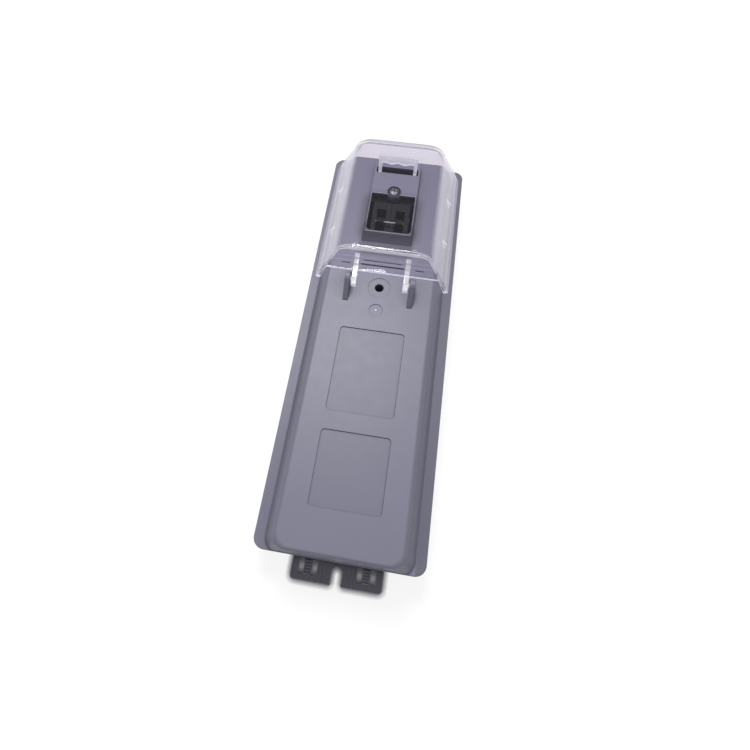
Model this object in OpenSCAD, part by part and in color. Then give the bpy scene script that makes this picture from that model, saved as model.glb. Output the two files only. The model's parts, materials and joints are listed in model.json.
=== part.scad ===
// Pole or wall enclosure for a single-phase plug-in meter, with a two-pole breaker
// behind a hinged clear hood.
// Millimetres. The enclosure lies on its back: +Z points out of its front, +Y points up
// the wall, and the origin is the middle of the back face. Inside the modules, Y is
// measured up from the cover's lower edge and shifted once, by from_foot().

/* [Cover] */
// Width of the front cover over its flange
cover_w = 136; // [130:1:150]
// Length of the front cover over its flange
cover_l = 400; // [396:1:430]
// Corner radius of the flange
cover_corner_r = 9; // [7:0.5:10]
// Rise of the flat front face above the flange
face_rise = 28; // [26:0.5:29]
// Rise of the breaker platform above the flange
platform_rise = 33.5; // [32:0.5:34]
// Wall thickness of the cover
cover_t = 2.4; // [2:0.1:2.8]
// Radius of the rounded edge along the sides of the flat front face
dome_edge_r = 4; // [3.5:0.1:4.2]

/* [Tray] */
// Height of the tray from the wall to its rim
tray_h = 34; // [34:0.5:38]
// Thickness of the tray's floor and walls
tray_t = 2.6; // [2.2:0.1:3]
// Width of the fixing tab
tab_w = 76; // [72:1:80]
// How far the fixing tab stands out past the cover
tab_out = 17; // [15:0.5:20]
// Width of the open fixing slot
fixing_slot_w = 9; // [7:0.5:10]
// Radius of the cable bore through each grommet
cable_r = 6; // [5:0.25:6.5]

/* [Breaker window] */
// Width of the window
window_w = 42; // [40:0.5:43]
// Lower edge of the window, up from the cover's foot
window_y0 = 288; // [286:1:289]
// Upper edge of the window, up from the cover's foot
window_y1 = 332; // [331:1:333]
// Tilt of the toggles from square, each way
toggle_tilt = 24; // [18:1:28]

/* [Hood] */
// Rise of the hood's flat top above the flange
hood_rise = 55; // [54:0.5:57]
// Thickness of the hood
hood_t = 2.2; // [1.8:0.1:2.3]
// Height of the hinge axis above the cover's face
pivot_rise = 10; // [9.5:0.5:11]
// Radius of the hinge stubs
stub_r = 2.2; // [2:0.05:2.5]
// Radial clearance of the hinge stubs in their lugs
stub_gap = 0.08; // [0.05:0.01:0.1]

/* [Hidden] */
$fn = 48;
eps = 0.01;

// Heights above the wall
flange_t = 2.5;
flange_z = tray_h + flange_t;
face_z = flange_z + face_rise;
platform_z = flange_z + platform_rise;
hood_z = flange_z + hood_rise;
floor_z = 3;

// Tray: walls, rim, gasket groove and the posts and pads that carry the inside parts
tray_inset = 6.5;
tray_corner_r = 7;
rim_inset = 2.5;
rim_h = 4;
gasket_inset = 5.6;
gasket_w = 3;
gasket_h = 1.6;
post_r = 6;
post_z = 30.4;
pillar_r = 4.3;
pad_r = 4.5;
pad_h = 4;
blind_z = 1;
pilot_r = 1.9;
clear_r = 2.1;
upper_fixing_x = 32;
upper_fixing_y = 380;
upper_fixing_r = 2.75;
fixing_boss_r = 7;
fixing_boss_h = 6;

// Tab: fixing slot, slots for the cable ties, and the ribs between them
tab_t = 4;
tab_corner_r = 3;
slot_depth = 10;
tie_slot = [4.4, 11.2];
tie_pitch = 11.1;
tie_y = -6.2;
tab_rib_x = 13;
tab_rib_w = 1.2;
saddle_w = 6;
saddle_ridge_pitch = 2.4;

// Cables and the grommets they pass
cable_x = 24.2;
cable_z = 14;
grommet_r = 9;
grommet_lip = 1.6;

// Cover outline: the dome stands back from the flange's edge on three sides, and its
// lower wall is nearly flush with it. Drafts are run over rise.
skirt_t = 2;
skirt_h = 4;
dome_foot = 8.7;
dome_foot_low = 0.6;
dome_r = 18;
dome_r_low = 9;
dome_draft = 0.36;
dome_draft_low = 0.04;
dome_edge_r_low = 2.5;
ledge_half_l = 58;
platform_w = 47;
platform_y0 = 278;
platform_y1 = 372;

// Label recesses: lower edge, upper edge and width
upper_label = [111, 187, 55.6];
lower_label = [35, 95, 56];
label_depth = 0.9;

// Screw wells: the deep lower one and the shallow cup of the upper one
well_r = 3.9;
well_t = 1.9;
well_seat_z = 34;
cup_r = 6.3;
cup_t = 0.8;
head_seat_z = platform_z - 4;

// Slot for the hood's latch, and the slits across the face under the hood
latch_slot = [41, 7.2];
slit_y = 252.1;
slit_w = 1.2;
slit_half_l = 20;
side_slit_x = 34;
side_slit_l = 8;

// Centre-line features, up from the cover's foot
upper_screw_y = 335.5;
lower_screw_y = 230;
gate_y = 207;
latch_y = 362;
breaker_y = 305;
socket_y = 125;
neutral_y = 178;

// Hood and its hinge
hood_y0 = 249.5;
hood_side_x = 63.5;
hood_slope = 0.45;
hood_crease_z = 44.5;
hood_end_slope = 0.3;
hood_end_arc = 6.5;
hood_gap = 0.4;
hood_edge_r = 5;
hood_flat_x = 24;
lip_y0 = 244.2;
lip_x = 51;
pivot_y = 230;
pivot_z = face_z + pivot_rise;
lug_t = 4.6;
lug_x = 26.2;
arm_t = 4.6;
arm_x = 20.4;
arm_tip_r = 7;
arm_top_z = flange_z + 49.5;

// Breaker and its rail
rail_half = 17.5;
rail_l = 58;
rail_base_z = floor_z + 3;
rail_z = rail_base_z + 7.5;
hook_y = rail_half + 0.2;
hook_drop = 4.2;
pole_w = 17.6;
pole_x = 8.95;
pole_half_l = 41;
nose_half_l = 22.5;
shoulder_z = rail_z + 37.5;
nose_z = rail_z + 50;
toggle_z = nose_z - 7;
toggle_hub_r = 6.6;
toggle_reach = 15.2;
tie_reach = 12.2;
tie_r = 0.8;
pin_r = 1.2;
terminal_z = 30;
terminal_y = 33;
rivet_r = 1.5;
rivet_places = [[-36, rail_z + 4.5], [36, rail_z + 4.5], [-19, rail_z + 28.5], [19, rail_z + 28.5]];

// Bridge that takes the upper cover screw
bridge_z = shoulder_z + 2;
bridge_t = 6;
bridge_x = 23;
bridge_half_w = 5.5;

// Meter socket
socket_w = 80;
socket_l = 60;
socket_base_t = 9;
socket_wall_h = 12;
socket_wall_t = 2.5;
socket_screw_x = 30;
jaw_x = 20;
jaw_screw_y = 24;
jaw_gap = 1.4;
jaw_leaf_t = 1;

// Neutral bar
neutral_w = 60;
neutral_pitch = 12;
neutral_z = floor_z + pad_h;
neutral_screw_x = 36;

// Wires
link_r = 2.1;
link_z = 25;

cover_grey = [0.56, 0.55, 0.60];
charcoal = [0.13, 0.13, 0.15];
clear = [0.86, 0.88, 0.92, 0.35];
steel = [0.75, 0.76, 0.78];
brass = [0.78, 0.62, 0.30];

// ---------------------------------------------------------------- helpers

module from_foot() {
    translate([0, -cover_l / 2, 0]) children();
}

// A rectangle with round corners, from true circles
module round_rect(w, l, r) {
    square([w - 2 * r, l], center = true);
    square([w, l - 2 * r], center = true);
    for (sx = [-1, 1], sy = [-1, 1])
        translate([sx * (w / 2 - r), sy * (l / 2 - r)]) circle(r = r);
}

// The rounded rectangle set on the cover's middle, inset by a margin
module plan(inset, r) {
    translate([0, cover_l / 2]) round_rect(cover_w - 2 * inset, cover_l - 2 * inset, r);
}

// A profile drawn in Y and Z, extruded across X between two planes
module across_x(x0, x1) {
    translate([x0, 0, 0]) rotate([90, 0, 90]) linear_extrude(x1 - x0) children();
}

// A profile drawn in X and Z, extruded along Y between two planes
module along_y(y0, y1) {
    translate([0, y1, 0]) rotate([90, 0, 0]) linear_extrude(y1 - y0) children();
}

// Inset, at height z, of a drafted wall of height h whose upper edge is rounded
function wall_inset(z, h, draft, r) =
    let (a = atan(1 / draft), arc_z = h - r * (1 - cos(a)))
    z < arc_z ? draft * z : draft * arc_z + r * sin(a) - sqrt(max(0, r * r - pow(r - h + z, 2)));

// Heights at which the dome's section is sampled
function dome_levels(h, r) = concat([0], [for (t = [90:-15:0]) h - r * (1 - cos(t))]);

// Outline of the dome, inset from the flange's edge at the sides and at the lower end
function dome_outline(side, low, r, r_low) =
    let (x = cover_w / 2 - side, y1 = cover_l - side)
    concat([for (a = [0:15:90]) [x - r + r * cos(a), y1 - r + r * sin(a)]],
           [for (a = [90:15:180]) [r - x + r * cos(a), y1 - r + r * sin(a)]],
           [for (a = [180:15:270]) [r_low - x + r_low * cos(a), low + r_low + r_low * sin(a)]],
           [for (a = [270:15:360]) [x - r_low + r_low * cos(a), low + r_low + r_low * sin(a)]]);

// The cover's dome, grown by a margin: level slices from its foot up to the flat face
module dome(grow, h, drop) {
    edge_r = dome_edge_r + grow;
    hull()
        for (z = concat([-drop], dome_levels(h, edge_r))) {
            side = dome_foot - grow + wall_inset(max(0, z), h, dome_draft, edge_r);
            low = dome_foot_low - grow
                + wall_inset(max(0, z), h, dome_draft_low, max(0.4, dome_edge_r_low + grow));
            translate([0, 0, flange_z + min(z, h - eps)]) linear_extrude(eps)
                polygon(dome_outline(side, low, dome_r + dome_foot - side, dome_r_low + grow + z / 12));
        }
}

// A pan head with a cross recess, its underside at Z = 0
module pan_head(r, h, drive) {
    difference() {
        rotate_extrude()
            polygon([[0, 0], [r, 0], [r, h * 0.45], [r * 0.9, h * 0.75], [r * 0.62, h * 0.95], [0, h]]);
        for (a = [0, 90])
            rotate([0, 0, a]) translate([-drive / 2, -drive / 10, h * 0.35]) cube([drive, drive / 5, h]);
    }
}

// A pan-head screw pointing down from Z = 0
module screw(shank_r, length, head_r, head_h, drive) {
    pan_head(head_r, head_h, drive);
    translate([0, 0, -length]) cylinder(r = shank_r, h = length + eps);
}

// A terminal screw: slotted barrel head on a shank, pointing down from Z = 0
module slotted_screw(shank_r, length, head_r, head_h) {
    slot_w = head_r * 0.32;
    difference() {
        cylinder(r = head_r, h = head_h);
        translate([-head_r, -slot_w / 2, head_h * 0.55]) cube([2 * head_r, slot_w, head_h]);
    }
    translate([0, 0, -length]) cylinder(r = shank_r, h = length + eps);
}

// A wire along a list of points
module wire(points, r) {
    for (i = [0:len(points) - 2])
        hull() {
            translate(points[i]) sphere(r = r, $fn = 12);
            translate(points[i + 1]) sphere(r = r, $fn = 12);
        }
}

// ---------------------------------------------------------------- base and its fixings

module tab_blank() {
    y0 = -tab_out;
    linear_extrude(tab_t) difference() {
        union() {
            translate([-tab_w / 2, y0 + tab_corner_r]) square([tab_w, tray_inset - y0 - tab_corner_r + 1]);
            translate([-tab_w / 2 + tab_corner_r, y0]) square([tab_w - 2 * tab_corner_r, 10]);
            for (s = [-1, 1])
                translate([s * (tab_w / 2 - tab_corner_r), y0 + tab_corner_r]) circle(r = tab_corner_r);
        }
        translate([-fixing_slot_w / 2, y0 - 1]) square([fixing_slot_w, slot_depth + 1]);
        translate([0, y0 + slot_depth]) circle(d = fixing_slot_w);
        for (s = [-1, 1], d = [-0.5, 0.5])
            translate([s * cable_x + d * tie_pitch, tie_y]) square(tie_slot, center = true);
    }
}

module tab() {
    w = tab_rib_w;
    edge_x = tab_w / 2 - 0.9;
    tab_blank();
    // Raised ribs between the fields and along the outer edges
    for (s = [-1, 1]) {
        translate([s * tab_rib_x - w / 2, -tab_out + 1, tab_t - eps]) cube([w, tab_out + tray_inset, w]);
        translate([s * edge_x - w / 2, -tab_out + 4, tab_t - eps]) cube([w, tab_out + tray_inset - 3, w]);
        // Ribbed saddle that the cable is tied down on
        translate([s * cable_x - saddle_w / 2, tie_y - tie_slot[1] / 2, tab_t - eps])
            cube([saddle_w, tie_slot[1], w]);
        for (i = [-2:2])
            translate([s * cable_x - saddle_w / 2, tie_y + i * saddle_ridge_pitch - w / 2, tab_t + 1])
                cube([saddle_w, w, w]);
    }
}

module base_tray() {
    color(charcoal) from_foot() difference() {
        union() {
            difference() {
                union() {
                    linear_extrude(tray_h - rim_h + eps) plan(tray_inset, tray_corner_r);
                    translate([0, 0, tray_h - rim_h]) linear_extrude(rim_h) plan(rim_inset, tray_corner_r);
                }
                translate([0, 0, floor_z])
                    linear_extrude(tray_h) plan(tray_inset + tray_t, tray_corner_r - tray_t);
            }
            tab();
            // Posts and pads that carry the inside parts
            translate([0, lower_screw_y, 0]) cylinder(r = post_r, h = post_z);
            for (s = [-1, 1]) {
                translate([s * bridge_x, upper_screw_y, 0]) cylinder(r = pillar_r, h = bridge_z);
                translate([s * bridge_x, breaker_y, 0]) cylinder(r = pad_r, h = rail_base_z);
                translate([s * socket_screw_x, socket_y, 0]) cylinder(r = pad_r, h = floor_z + pad_h);
                translate([s * neutral_screw_x, neutral_y, 0]) cylinder(r = pad_r, h = floor_z + pad_h);
                translate([s * upper_fixing_x, upper_fixing_y, 0])
                    cylinder(r = fixing_boss_r, h = fixing_boss_h);
            }
        }
        // Gasket groove in the rim
        translate([0, 0, tray_h - gasket_h]) linear_extrude(gasket_h + 1) difference() {
            plan(gasket_inset - gasket_w / 2, tray_corner_r - 1);
            plan(gasket_inset + gasket_w / 2, tray_corner_r - 1 - gasket_w);
        }
        // Screw and insert bores
        translate([0, lower_screw_y, 12]) cylinder(r = 3.02, h = post_z);
        for (s = [-1, 1]) {
            translate([s * bridge_x, upper_screw_y, bridge_z - 14]) cylinder(r = pilot_r, h = 20);
            translate([s * bridge_x, breaker_y, blind_z]) cylinder(r = pilot_r, h = 10);
            translate([s * upper_fixing_x, upper_fixing_y, -1]) cylinder(r = upper_fixing_r, h = 20);
            translate([s * cable_x, tray_inset + tray_t + 2, cable_z])
                rotate([90, 0, 0]) cylinder(r = grommet_r + 0.03, h = 2 * tray_t + 4);
            translate([s * socket_screw_x, socket_y, blind_z]) cylinder(r = pilot_r, h = 10);
            translate([s * neutral_screw_x, neutral_y, blind_z]) cylinder(r = pilot_r, h = 10);
        }
    }
}

module rim_gasket() {
    color([0.08, 0.08, 0.09]) from_foot()
        translate([0, 0, tray_h - gasket_h]) linear_extrude(gasket_h) difference() {
            plan(gasket_inset - gasket_w / 2, tray_corner_r - 1);
            plan(gasket_inset + gasket_w / 2, tray_corner_r - 1 - gasket_w);
        }
}

module cable_grommets() {
    lip = grommet_lip;
    color([0.06, 0.06, 0.07]) from_foot()
        for (s = [-1, 1])
            translate([s * cable_x, tray_inset + tray_t + lip, cable_z]) rotate([90, 0, 0])
                rotate_extrude()
                    polygon([[cable_r, 0], [grommet_r + 1.8, 0], [grommet_r + 1.8, lip], [grommet_r, lip],
                             [grommet_r, lip + tray_t], [grommet_r + 0.5, lip + tray_t],
                             [grommet_r - 0.5, tray_t + 2 * lip], [cable_r, tray_t + 2 * lip]]);
}

// ---------------------------------------------------------------- breaker

module din_rail() {
    half_web = 12.5;
    color(steel) from_foot() difference() {
        across_x(-rail_l / 2, rail_l / 2)
            translate([breaker_y, 0]) polygon([
                [-rail_half, rail_z - 1], [-rail_half, rail_z], [-half_web, rail_z],
                [-half_web, rail_base_z + 1], [half_web, rail_base_z + 1], [half_web, rail_z],
                [rail_half, rail_z], [rail_half, rail_z - 1], [half_web + 1, rail_z - 1],
                [half_web + 1, rail_base_z], [-half_web - 1, rail_base_z], [-half_web - 1, rail_z - 1]]);
        for (s = [-1, 1])
            translate([s * bridge_x, breaker_y, 0]) cylinder(r = clear_r, h = 20);
    }
}

module rail_screws() {
    color(steel) from_foot()
        for (s = [-1, 1])
            translate([s * bridge_x, breaker_y, rail_base_z + 1]) screw(1.8, 5.5, 3.4, 2.4, 3.6);
}

// Side outline of a pole: hooked over the rail below, stepped up to the nose above
function pole_outline() =
    let (end = pole_half_l, low = rail_z + 0.3, hook_z = rail_z - 1.2, foot_z = rail_z - hook_drop)
    [[-end, low], [-end, shoulder_z - 4], [4 - end, shoulder_z], [-nose_half_l, shoulder_z],
     [-nose_half_l, nose_z - 1], [1 - nose_half_l, nose_z], [nose_half_l - 1, nose_z],
     [nose_half_l, nose_z - 1], [nose_half_l, shoulder_z], [end - 4, shoulder_z],
     [end, shoulder_z - 4], [end, low], [32, low], [32, foot_z], [hook_y - 2.2, foot_z],
     [hook_y - 2.2, hook_z], [hook_y, hook_z], [hook_y, low]];

module pole(side) {
    cx = side * pole_x;
    cheek_t = 1.6;
    well = [8.8, 26, 20];
    pocket = [9, 10, 15];
    difference() {
        union() {
            across_x(cx - pole_w / 2, cx + pole_w / 2) translate([breaker_y, 0]) polygon(pole_outline());
            // Cheeks that guide the rail latch
            for (e = [-1, 1])
                translate([cx + e * (pole_w - cheek_t) / 2 - cheek_t / 2, breaker_y - 39, rail_z - hook_drop])
                    cube([cheek_t, 18, hook_drop + 0.4]);
        }
        translate([cx - well[0] / 2, breaker_y - well[1] / 2, toggle_z - 9]) cube(well);
        translate([cx - pole_w, breaker_y, toggle_z])
            rotate([0, 90, 0]) cylinder(r = pin_r + 0.05, h = 2 * pole_w);
        for (e = [-1, 1]) translate([cx, breaker_y + e * terminal_y, 0]) {
            // Pocket for the terminal cage, wire entry and screwdriver hole
            translate([-pocket[0] / 2, -pocket[1] / 2, terminal_z - 4]) cube(pocket);
            translate([0, 0, terminal_z]) rotate([-90 * e, 0, 0]) cylinder(r = 3.4, h = 12);
            translate([0, 0, terminal_z + 5]) cylinder(r = 3, h = 30);
        }
        for (p = rivet_places)
            translate([cx - pole_w, breaker_y + p[0], p[1]])
                rotate([0, 90, 0]) cylinder(r = rivet_r + 0.1, h = 2 * pole_w);
    }
}

module pole_left() {
    color([0.17, 0.17, 0.18]) from_foot() pole(-1);
}

module pole_right() {
    color([0.17, 0.17, 0.18]) from_foot() pole(1);
}

module pole_rivets() {
    half = pole_x + pole_w / 2;
    head_r = 2.4;
    head_h = 0.8;
    color(steel) from_foot()
        for (p = rivet_places) translate([0, breaker_y + p[0], p[1]]) {
            translate([-half, 0, 0]) rotate([0, 90, 0]) cylinder(r = rivet_r, h = 2 * half);
            for (s = [-1, 1])
                translate([s * (half + head_h / 2) - head_h / 2, 0, 0])
                    rotate([0, 90, 0]) cylinder(r = head_r, h = head_h);
        }
}

module toggle_pin() {
    color(steel) from_foot()
        translate([-pole_x - pole_w / 2 + 1, breaker_y, toggle_z])
            rotate([0, 90, 0]) cylinder(r = pin_r, h = 2 * pole_x + pole_w - 2);
}

module terminal_cages() {
    color(steel) from_foot()
        for (s = [-1, 1], e = [-1, 1])
            translate([s * pole_x, breaker_y + e * terminal_y, terminal_z]) difference() {
                translate([-4.1, -4.4, -3.8]) cube([8.2, 8.8, 9.6]);
                translate([-2.9, -5, -2.6]) cube([5.8, 10, 6]);
                cylinder(r = pilot_r, h = 10);
            }
}

module terminal_screws() {
    color(brass) from_foot()
        for (s = [-1, 1], e = [-1, 1])
            translate([s * pole_x, breaker_y + e * terminal_y, terminal_z + 7])
                slotted_screw(1.75, 4.2, 2.6, 3.2);
}

module toggle(side) {
    hub_half = 4;
    reach = toggle_reach;
    translate([side * pole_x, breaker_y, toggle_z]) rotate([toggle_tilt, 0, 0]) difference() {
        union() {
            translate([-hub_half, 0, 0]) rotate([0, 90, 0]) cylinder(r = toggle_hub_r, h = 2 * hub_half);
            across_x(-3.6, 3.6) polygon([[-3.4, 3], [-1.6, reach - 0.6], [-1, reach], [1, reach],
                                         [1.6, reach - 0.6], [3.4, 3]]);
        }
        translate([-5, 0, 0]) rotate([0, 90, 0]) cylinder(r = pin_r + 0.05, h = 10);
        translate([-5, 0, tie_reach]) rotate([0, 90, 0]) cylinder(r = tie_r + 0.05, h = 10);
    }
}

module toggle_left() {
    color([0.24, 0.24, 0.25]) from_foot() toggle(-1);
}

module toggle_right() {
    color([0.24, 0.24, 0.25]) from_foot() toggle(1);
}

module toggle_tie() {
    half = pole_x + 4.4;
    color(steel) from_foot()
        translate([0, breaker_y, toggle_z]) rotate([toggle_tilt, 0, 0]) translate([-half, 0, tie_reach])
            rotate([0, 90, 0]) cylinder(r = tie_r, h = 2 * half);
}

module rail_latches() {
    color([0.85, 0.85, 0.82]) from_foot()
        for (s = [-1, 1]) across_x(s * pole_x - 6.8, s * pole_x + 6.8)
            translate([breaker_y, 0]) polygon([
                [-hook_y, rail_z], [-38, rail_z], [-38, rail_z - 1], [-44, rail_z - 1], [-44, rail_z - 4.4],
                [-hook_y + 2, rail_z - 4.4], [-hook_y + 2.4, rail_z - 3.6], [-hook_y + 1.4, rail_z - 1.2],
                [-hook_y, rail_z - 1.2]]);
}

// ---------------------------------------------------------------- bridge and inserts

module cover_bridge() {
    color(charcoal) from_foot() difference() {
        union() {
            translate([-bridge_x, upper_screw_y - bridge_half_w, bridge_z])
                cube([2 * bridge_x, 2 * bridge_half_w, bridge_t]);
            for (s = [-1, 1])
                translate([s * bridge_x, upper_screw_y, bridge_z]) cylinder(r = bridge_half_w, h = bridge_t);
            translate([0, upper_screw_y, bridge_z]) cylinder(r = 6.5, h = bridge_t + 3);
        }
        translate([0, upper_screw_y, bridge_z - 1]) cylinder(r = 4.02, h = 20);
        for (s = [-1, 1])
            translate([s * bridge_x, upper_screw_y, bridge_z - 1]) cylinder(r = 2.2, h = 20);
    }
}

module bridge_screws() {
    color(brass) from_foot()
        for (s = [-1, 1])
            translate([s * bridge_x, upper_screw_y, bridge_z + bridge_t]) screw(1.85, 16, 3.6, 2.8, 4);
}

module insert(outer_r, bore_r, h) {
    difference() {
        cylinder(r = outer_r, h = h);
        translate([0, 0, -1]) cylinder(r = bore_r, h = h + 2);
        for (k = [0.3, 0.65])
            translate([0, 0, h * k]) difference() {
                cylinder(r = outer_r + 1, h = 0.8);
                translate([0, 0, -1]) cylinder(r = outer_r - 0.4, h = 3);
            }
    }
}

module upper_insert() {
    color(brass) from_foot() translate([0, upper_screw_y, bridge_z]) insert(4, 3.08, bridge_t + 3);
}

module lower_insert() {
    color(brass) from_foot() translate([0, lower_screw_y, post_z - 9]) insert(3, 2.08, 9);
}

// ---------------------------------------------------------------- meter socket

module socket_block() {
    top = floor_z + socket_base_t;
    t = socket_wall_t;
    side_x = socket_w / 2 - 4.5;
    inner_x = 7;
    color([0.30, 0.30, 0.32]) from_foot() translate([0, socket_y, 0]) difference() {
        union() {
            translate([0, 0, floor_z]) linear_extrude(socket_base_t) round_rect(socket_w, socket_l, 3);
            // Walls between the jaws
            for (s = [-1, 1]) {
                translate([s * side_x - t / 2, -socket_l / 2 + 4, top - eps])
                    cube([t, socket_l - 8, socket_wall_h]);
                translate([s * inner_x - t / 2, -socket_l / 2, top - eps]) cube([t, socket_l, socket_wall_h]);
            }
            translate([-socket_w / 2 + 4, -1.5, top - eps]) cube([socket_w - 8, 3, socket_wall_h]);
        }
        for (s = [-1, 1]) {
            translate([s * socket_screw_x, 0, 0]) cylinder(r = clear_r, h = 60);
            translate([s * socket_screw_x, 0, 0]) cylinder(r = pad_r + 0.2, h = floor_z + pad_h);
            translate([s * socket_screw_x, 0, top - 1]) cylinder(r = 4, h = 60);
            for (e = [-1, 1])
                translate([s * jaw_x, e * jaw_screw_y, top - 7]) cylinder(r = 2.3, h = 10);
        }
    }
}

module socket_jaws() {
    z0 = floor_z + socket_base_t;
    strip = [10, 26, 1.4];
    leaf_y = [3.5, 15.5];
    t = jaw_leaf_t;
    g = jaw_gap;
    color(brass) from_foot() translate([0, socket_y, 0])
        for (s = [-1, 1], e = [-1, 1]) translate([s * jaw_x, 0, z0]) {
            difference() {
                translate([-strip[0] / 2, e > 0 ? 3 : -3 - strip[1], 0]) cube(strip);
                translate([0, e * jaw_screw_y, -1]) cylinder(r = 2.3, h = 5);
            }
            // Two spring leaves that grip the meter's blade, splayed at the mouth
            along_y(e > 0 ? leaf_y[0] : -leaf_y[1], e > 0 ? leaf_y[1] : -leaf_y[0])
                for (m = [0, 1]) mirror([m, 0])
                    polygon([[g + 1.2, 1.3], [g + 1.2 + t, 1.3], [g + t, 9.5], [g + 1.6 + t, 13.4],
                             [g + 1.6, 13.6], [g - 0.2, 9.5]]);
        }
}

module jaw_screws() {
    color(steel) from_foot() translate([0, socket_y, floor_z + socket_base_t + 1.4])
        for (s = [-1, 1], e = [-1, 1])
            translate([s * jaw_x, e * jaw_screw_y, 0]) slotted_screw(2.1, 7, 4, 3);
}

module socket_screws() {
    color(steel) from_foot()
        for (s = [-1, 1])
            translate([s * socket_screw_x, socket_y, floor_z + socket_base_t - 1])
                screw(1.8, 9, 3.6, 2.6, 3.8);
}

module neutral_carrier() {
    color([0.20, 0.34, 0.62]) from_foot() translate([0, neutral_y, neutral_z]) difference() {
        union() {
            linear_extrude(3) round_rect(neutral_w + 22, 12, 3);
            translate([-neutral_w / 2 - 3, -6, 0]) cube([neutral_w + 6, 12, 8]);
        }
        translate([-neutral_w / 2 - 0.1, -4.1, 4]) cube([neutral_w + 0.2, 8.2, 20]);
        for (s = [-1, 1])
            translate([s * neutral_screw_x, 0, -1]) cylinder(r = clear_r, h = 20);
    }
}

module neutral_bar() {
    color(brass) from_foot() translate([0, neutral_y, neutral_z + 4]) difference() {
        translate([-neutral_w / 2, -4, 0]) cube([neutral_w, 8, 9]);
        for (i = [-2:2]) translate([i * neutral_pitch, 0, 0]) {
            translate([0, 10, 5]) rotate([90, 0, 0]) cylinder(r = 2.6, h = 20);
            translate([0, 0, 5]) cylinder(r = 2.05, h = 10);
        }
    }
}

module neutral_screws() {
    color(steel) from_foot() translate([0, neutral_y, neutral_z]) {
        for (i = [-2:2])
            translate([i * neutral_pitch, 0, 4 + 9]) slotted_screw(1.95, 3, 3, 2.2);
        for (s = [-1, 1])
            translate([s * neutral_screw_x, 0, 3]) screw(1.8, 8, 2.9, 2.4, 3.6);
    }
}

// Links from the meter socket run up both sides of the breaker to its upper terminals
function link_path(side) =
    let (top_y = breaker_y + 41)
    [[side * jaw_x, socket_y + 32, 17], [side * jaw_x, socket_y + 42, link_z], [side * 24, 210, link_z],
     [side * 30, 268, 18], [side * 30, 318, 18], [side * 30, top_y + 4, 26],
     [side * 22, top_y + 14, terminal_z], [side * pole_x, top_y + 10, terminal_z],
     [side * pole_x, top_y - 3, terminal_z]];

module line_link() {
    color([0.42, 0.24, 0.14]) from_foot() wire(link_path(-1), link_r);
}

module neutral_link() {
    color([0.16, 0.30, 0.62]) from_foot() wire(link_path(1), link_r);
}

// ---------------------------------------------------------------- cover

module platform(inset) {
    z0 = face_z - 6;
    z1 = platform_z - inset;
    half = platform_w / 2 - inset;
    intersection() {
        across_x(-platform_w, platform_w)
            polygon([[platform_y0 - 10 + inset, z0 - 8], [platform_y0 + inset, face_z - inset],
                     [platform_y0 + 8.5 + inset * 0.6, z1], [platform_y1 - 2 - inset, z1],
                     [platform_y1 - inset, z0 - 8]]);
        along_y(platform_y0 - 20, platform_y1 + 20)
            polygon([[-half - 1, z0], [half + 1, z0], [half - 1, z1], [1 - half, z1]]);
    }
}

module window_cut() {
    r = 4.5;
    h = 30;
    translate([0, 0, platform_z - 12]) linear_extrude(h) {
        translate([-window_w / 2, window_y0 + r]) square([window_w, window_y1 - window_y0 - r]);
        translate([-window_w / 2 + r, window_y0]) square([window_w - 2 * r, r + 1]);
        for (s = [-1, 1]) translate([s * (window_w / 2 - r), window_y0 + r]) circle(r = r);
    }
}

module label_recess(label) {
    translate([0, (label[0] + label[1]) / 2, face_z - label_depth])
        linear_extrude(5) round_rect(label[2], label[1] - label[0], 3);
}

// Side outline of a hinge lug: a steep front, a round crown over the pivot, a long back
function lug_outline(r) = concat(
    [[pivot_y - 17, face_z - 1], [pivot_y - 17, face_z + 0.5]],
    [for (a = [150:-15:50]) [pivot_y + r * cos(a), pivot_z + r * sin(a)]],
    [[pivot_y + 12.8, face_z + 0.5], [pivot_y + 12.8, face_z - 1]]);

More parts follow.
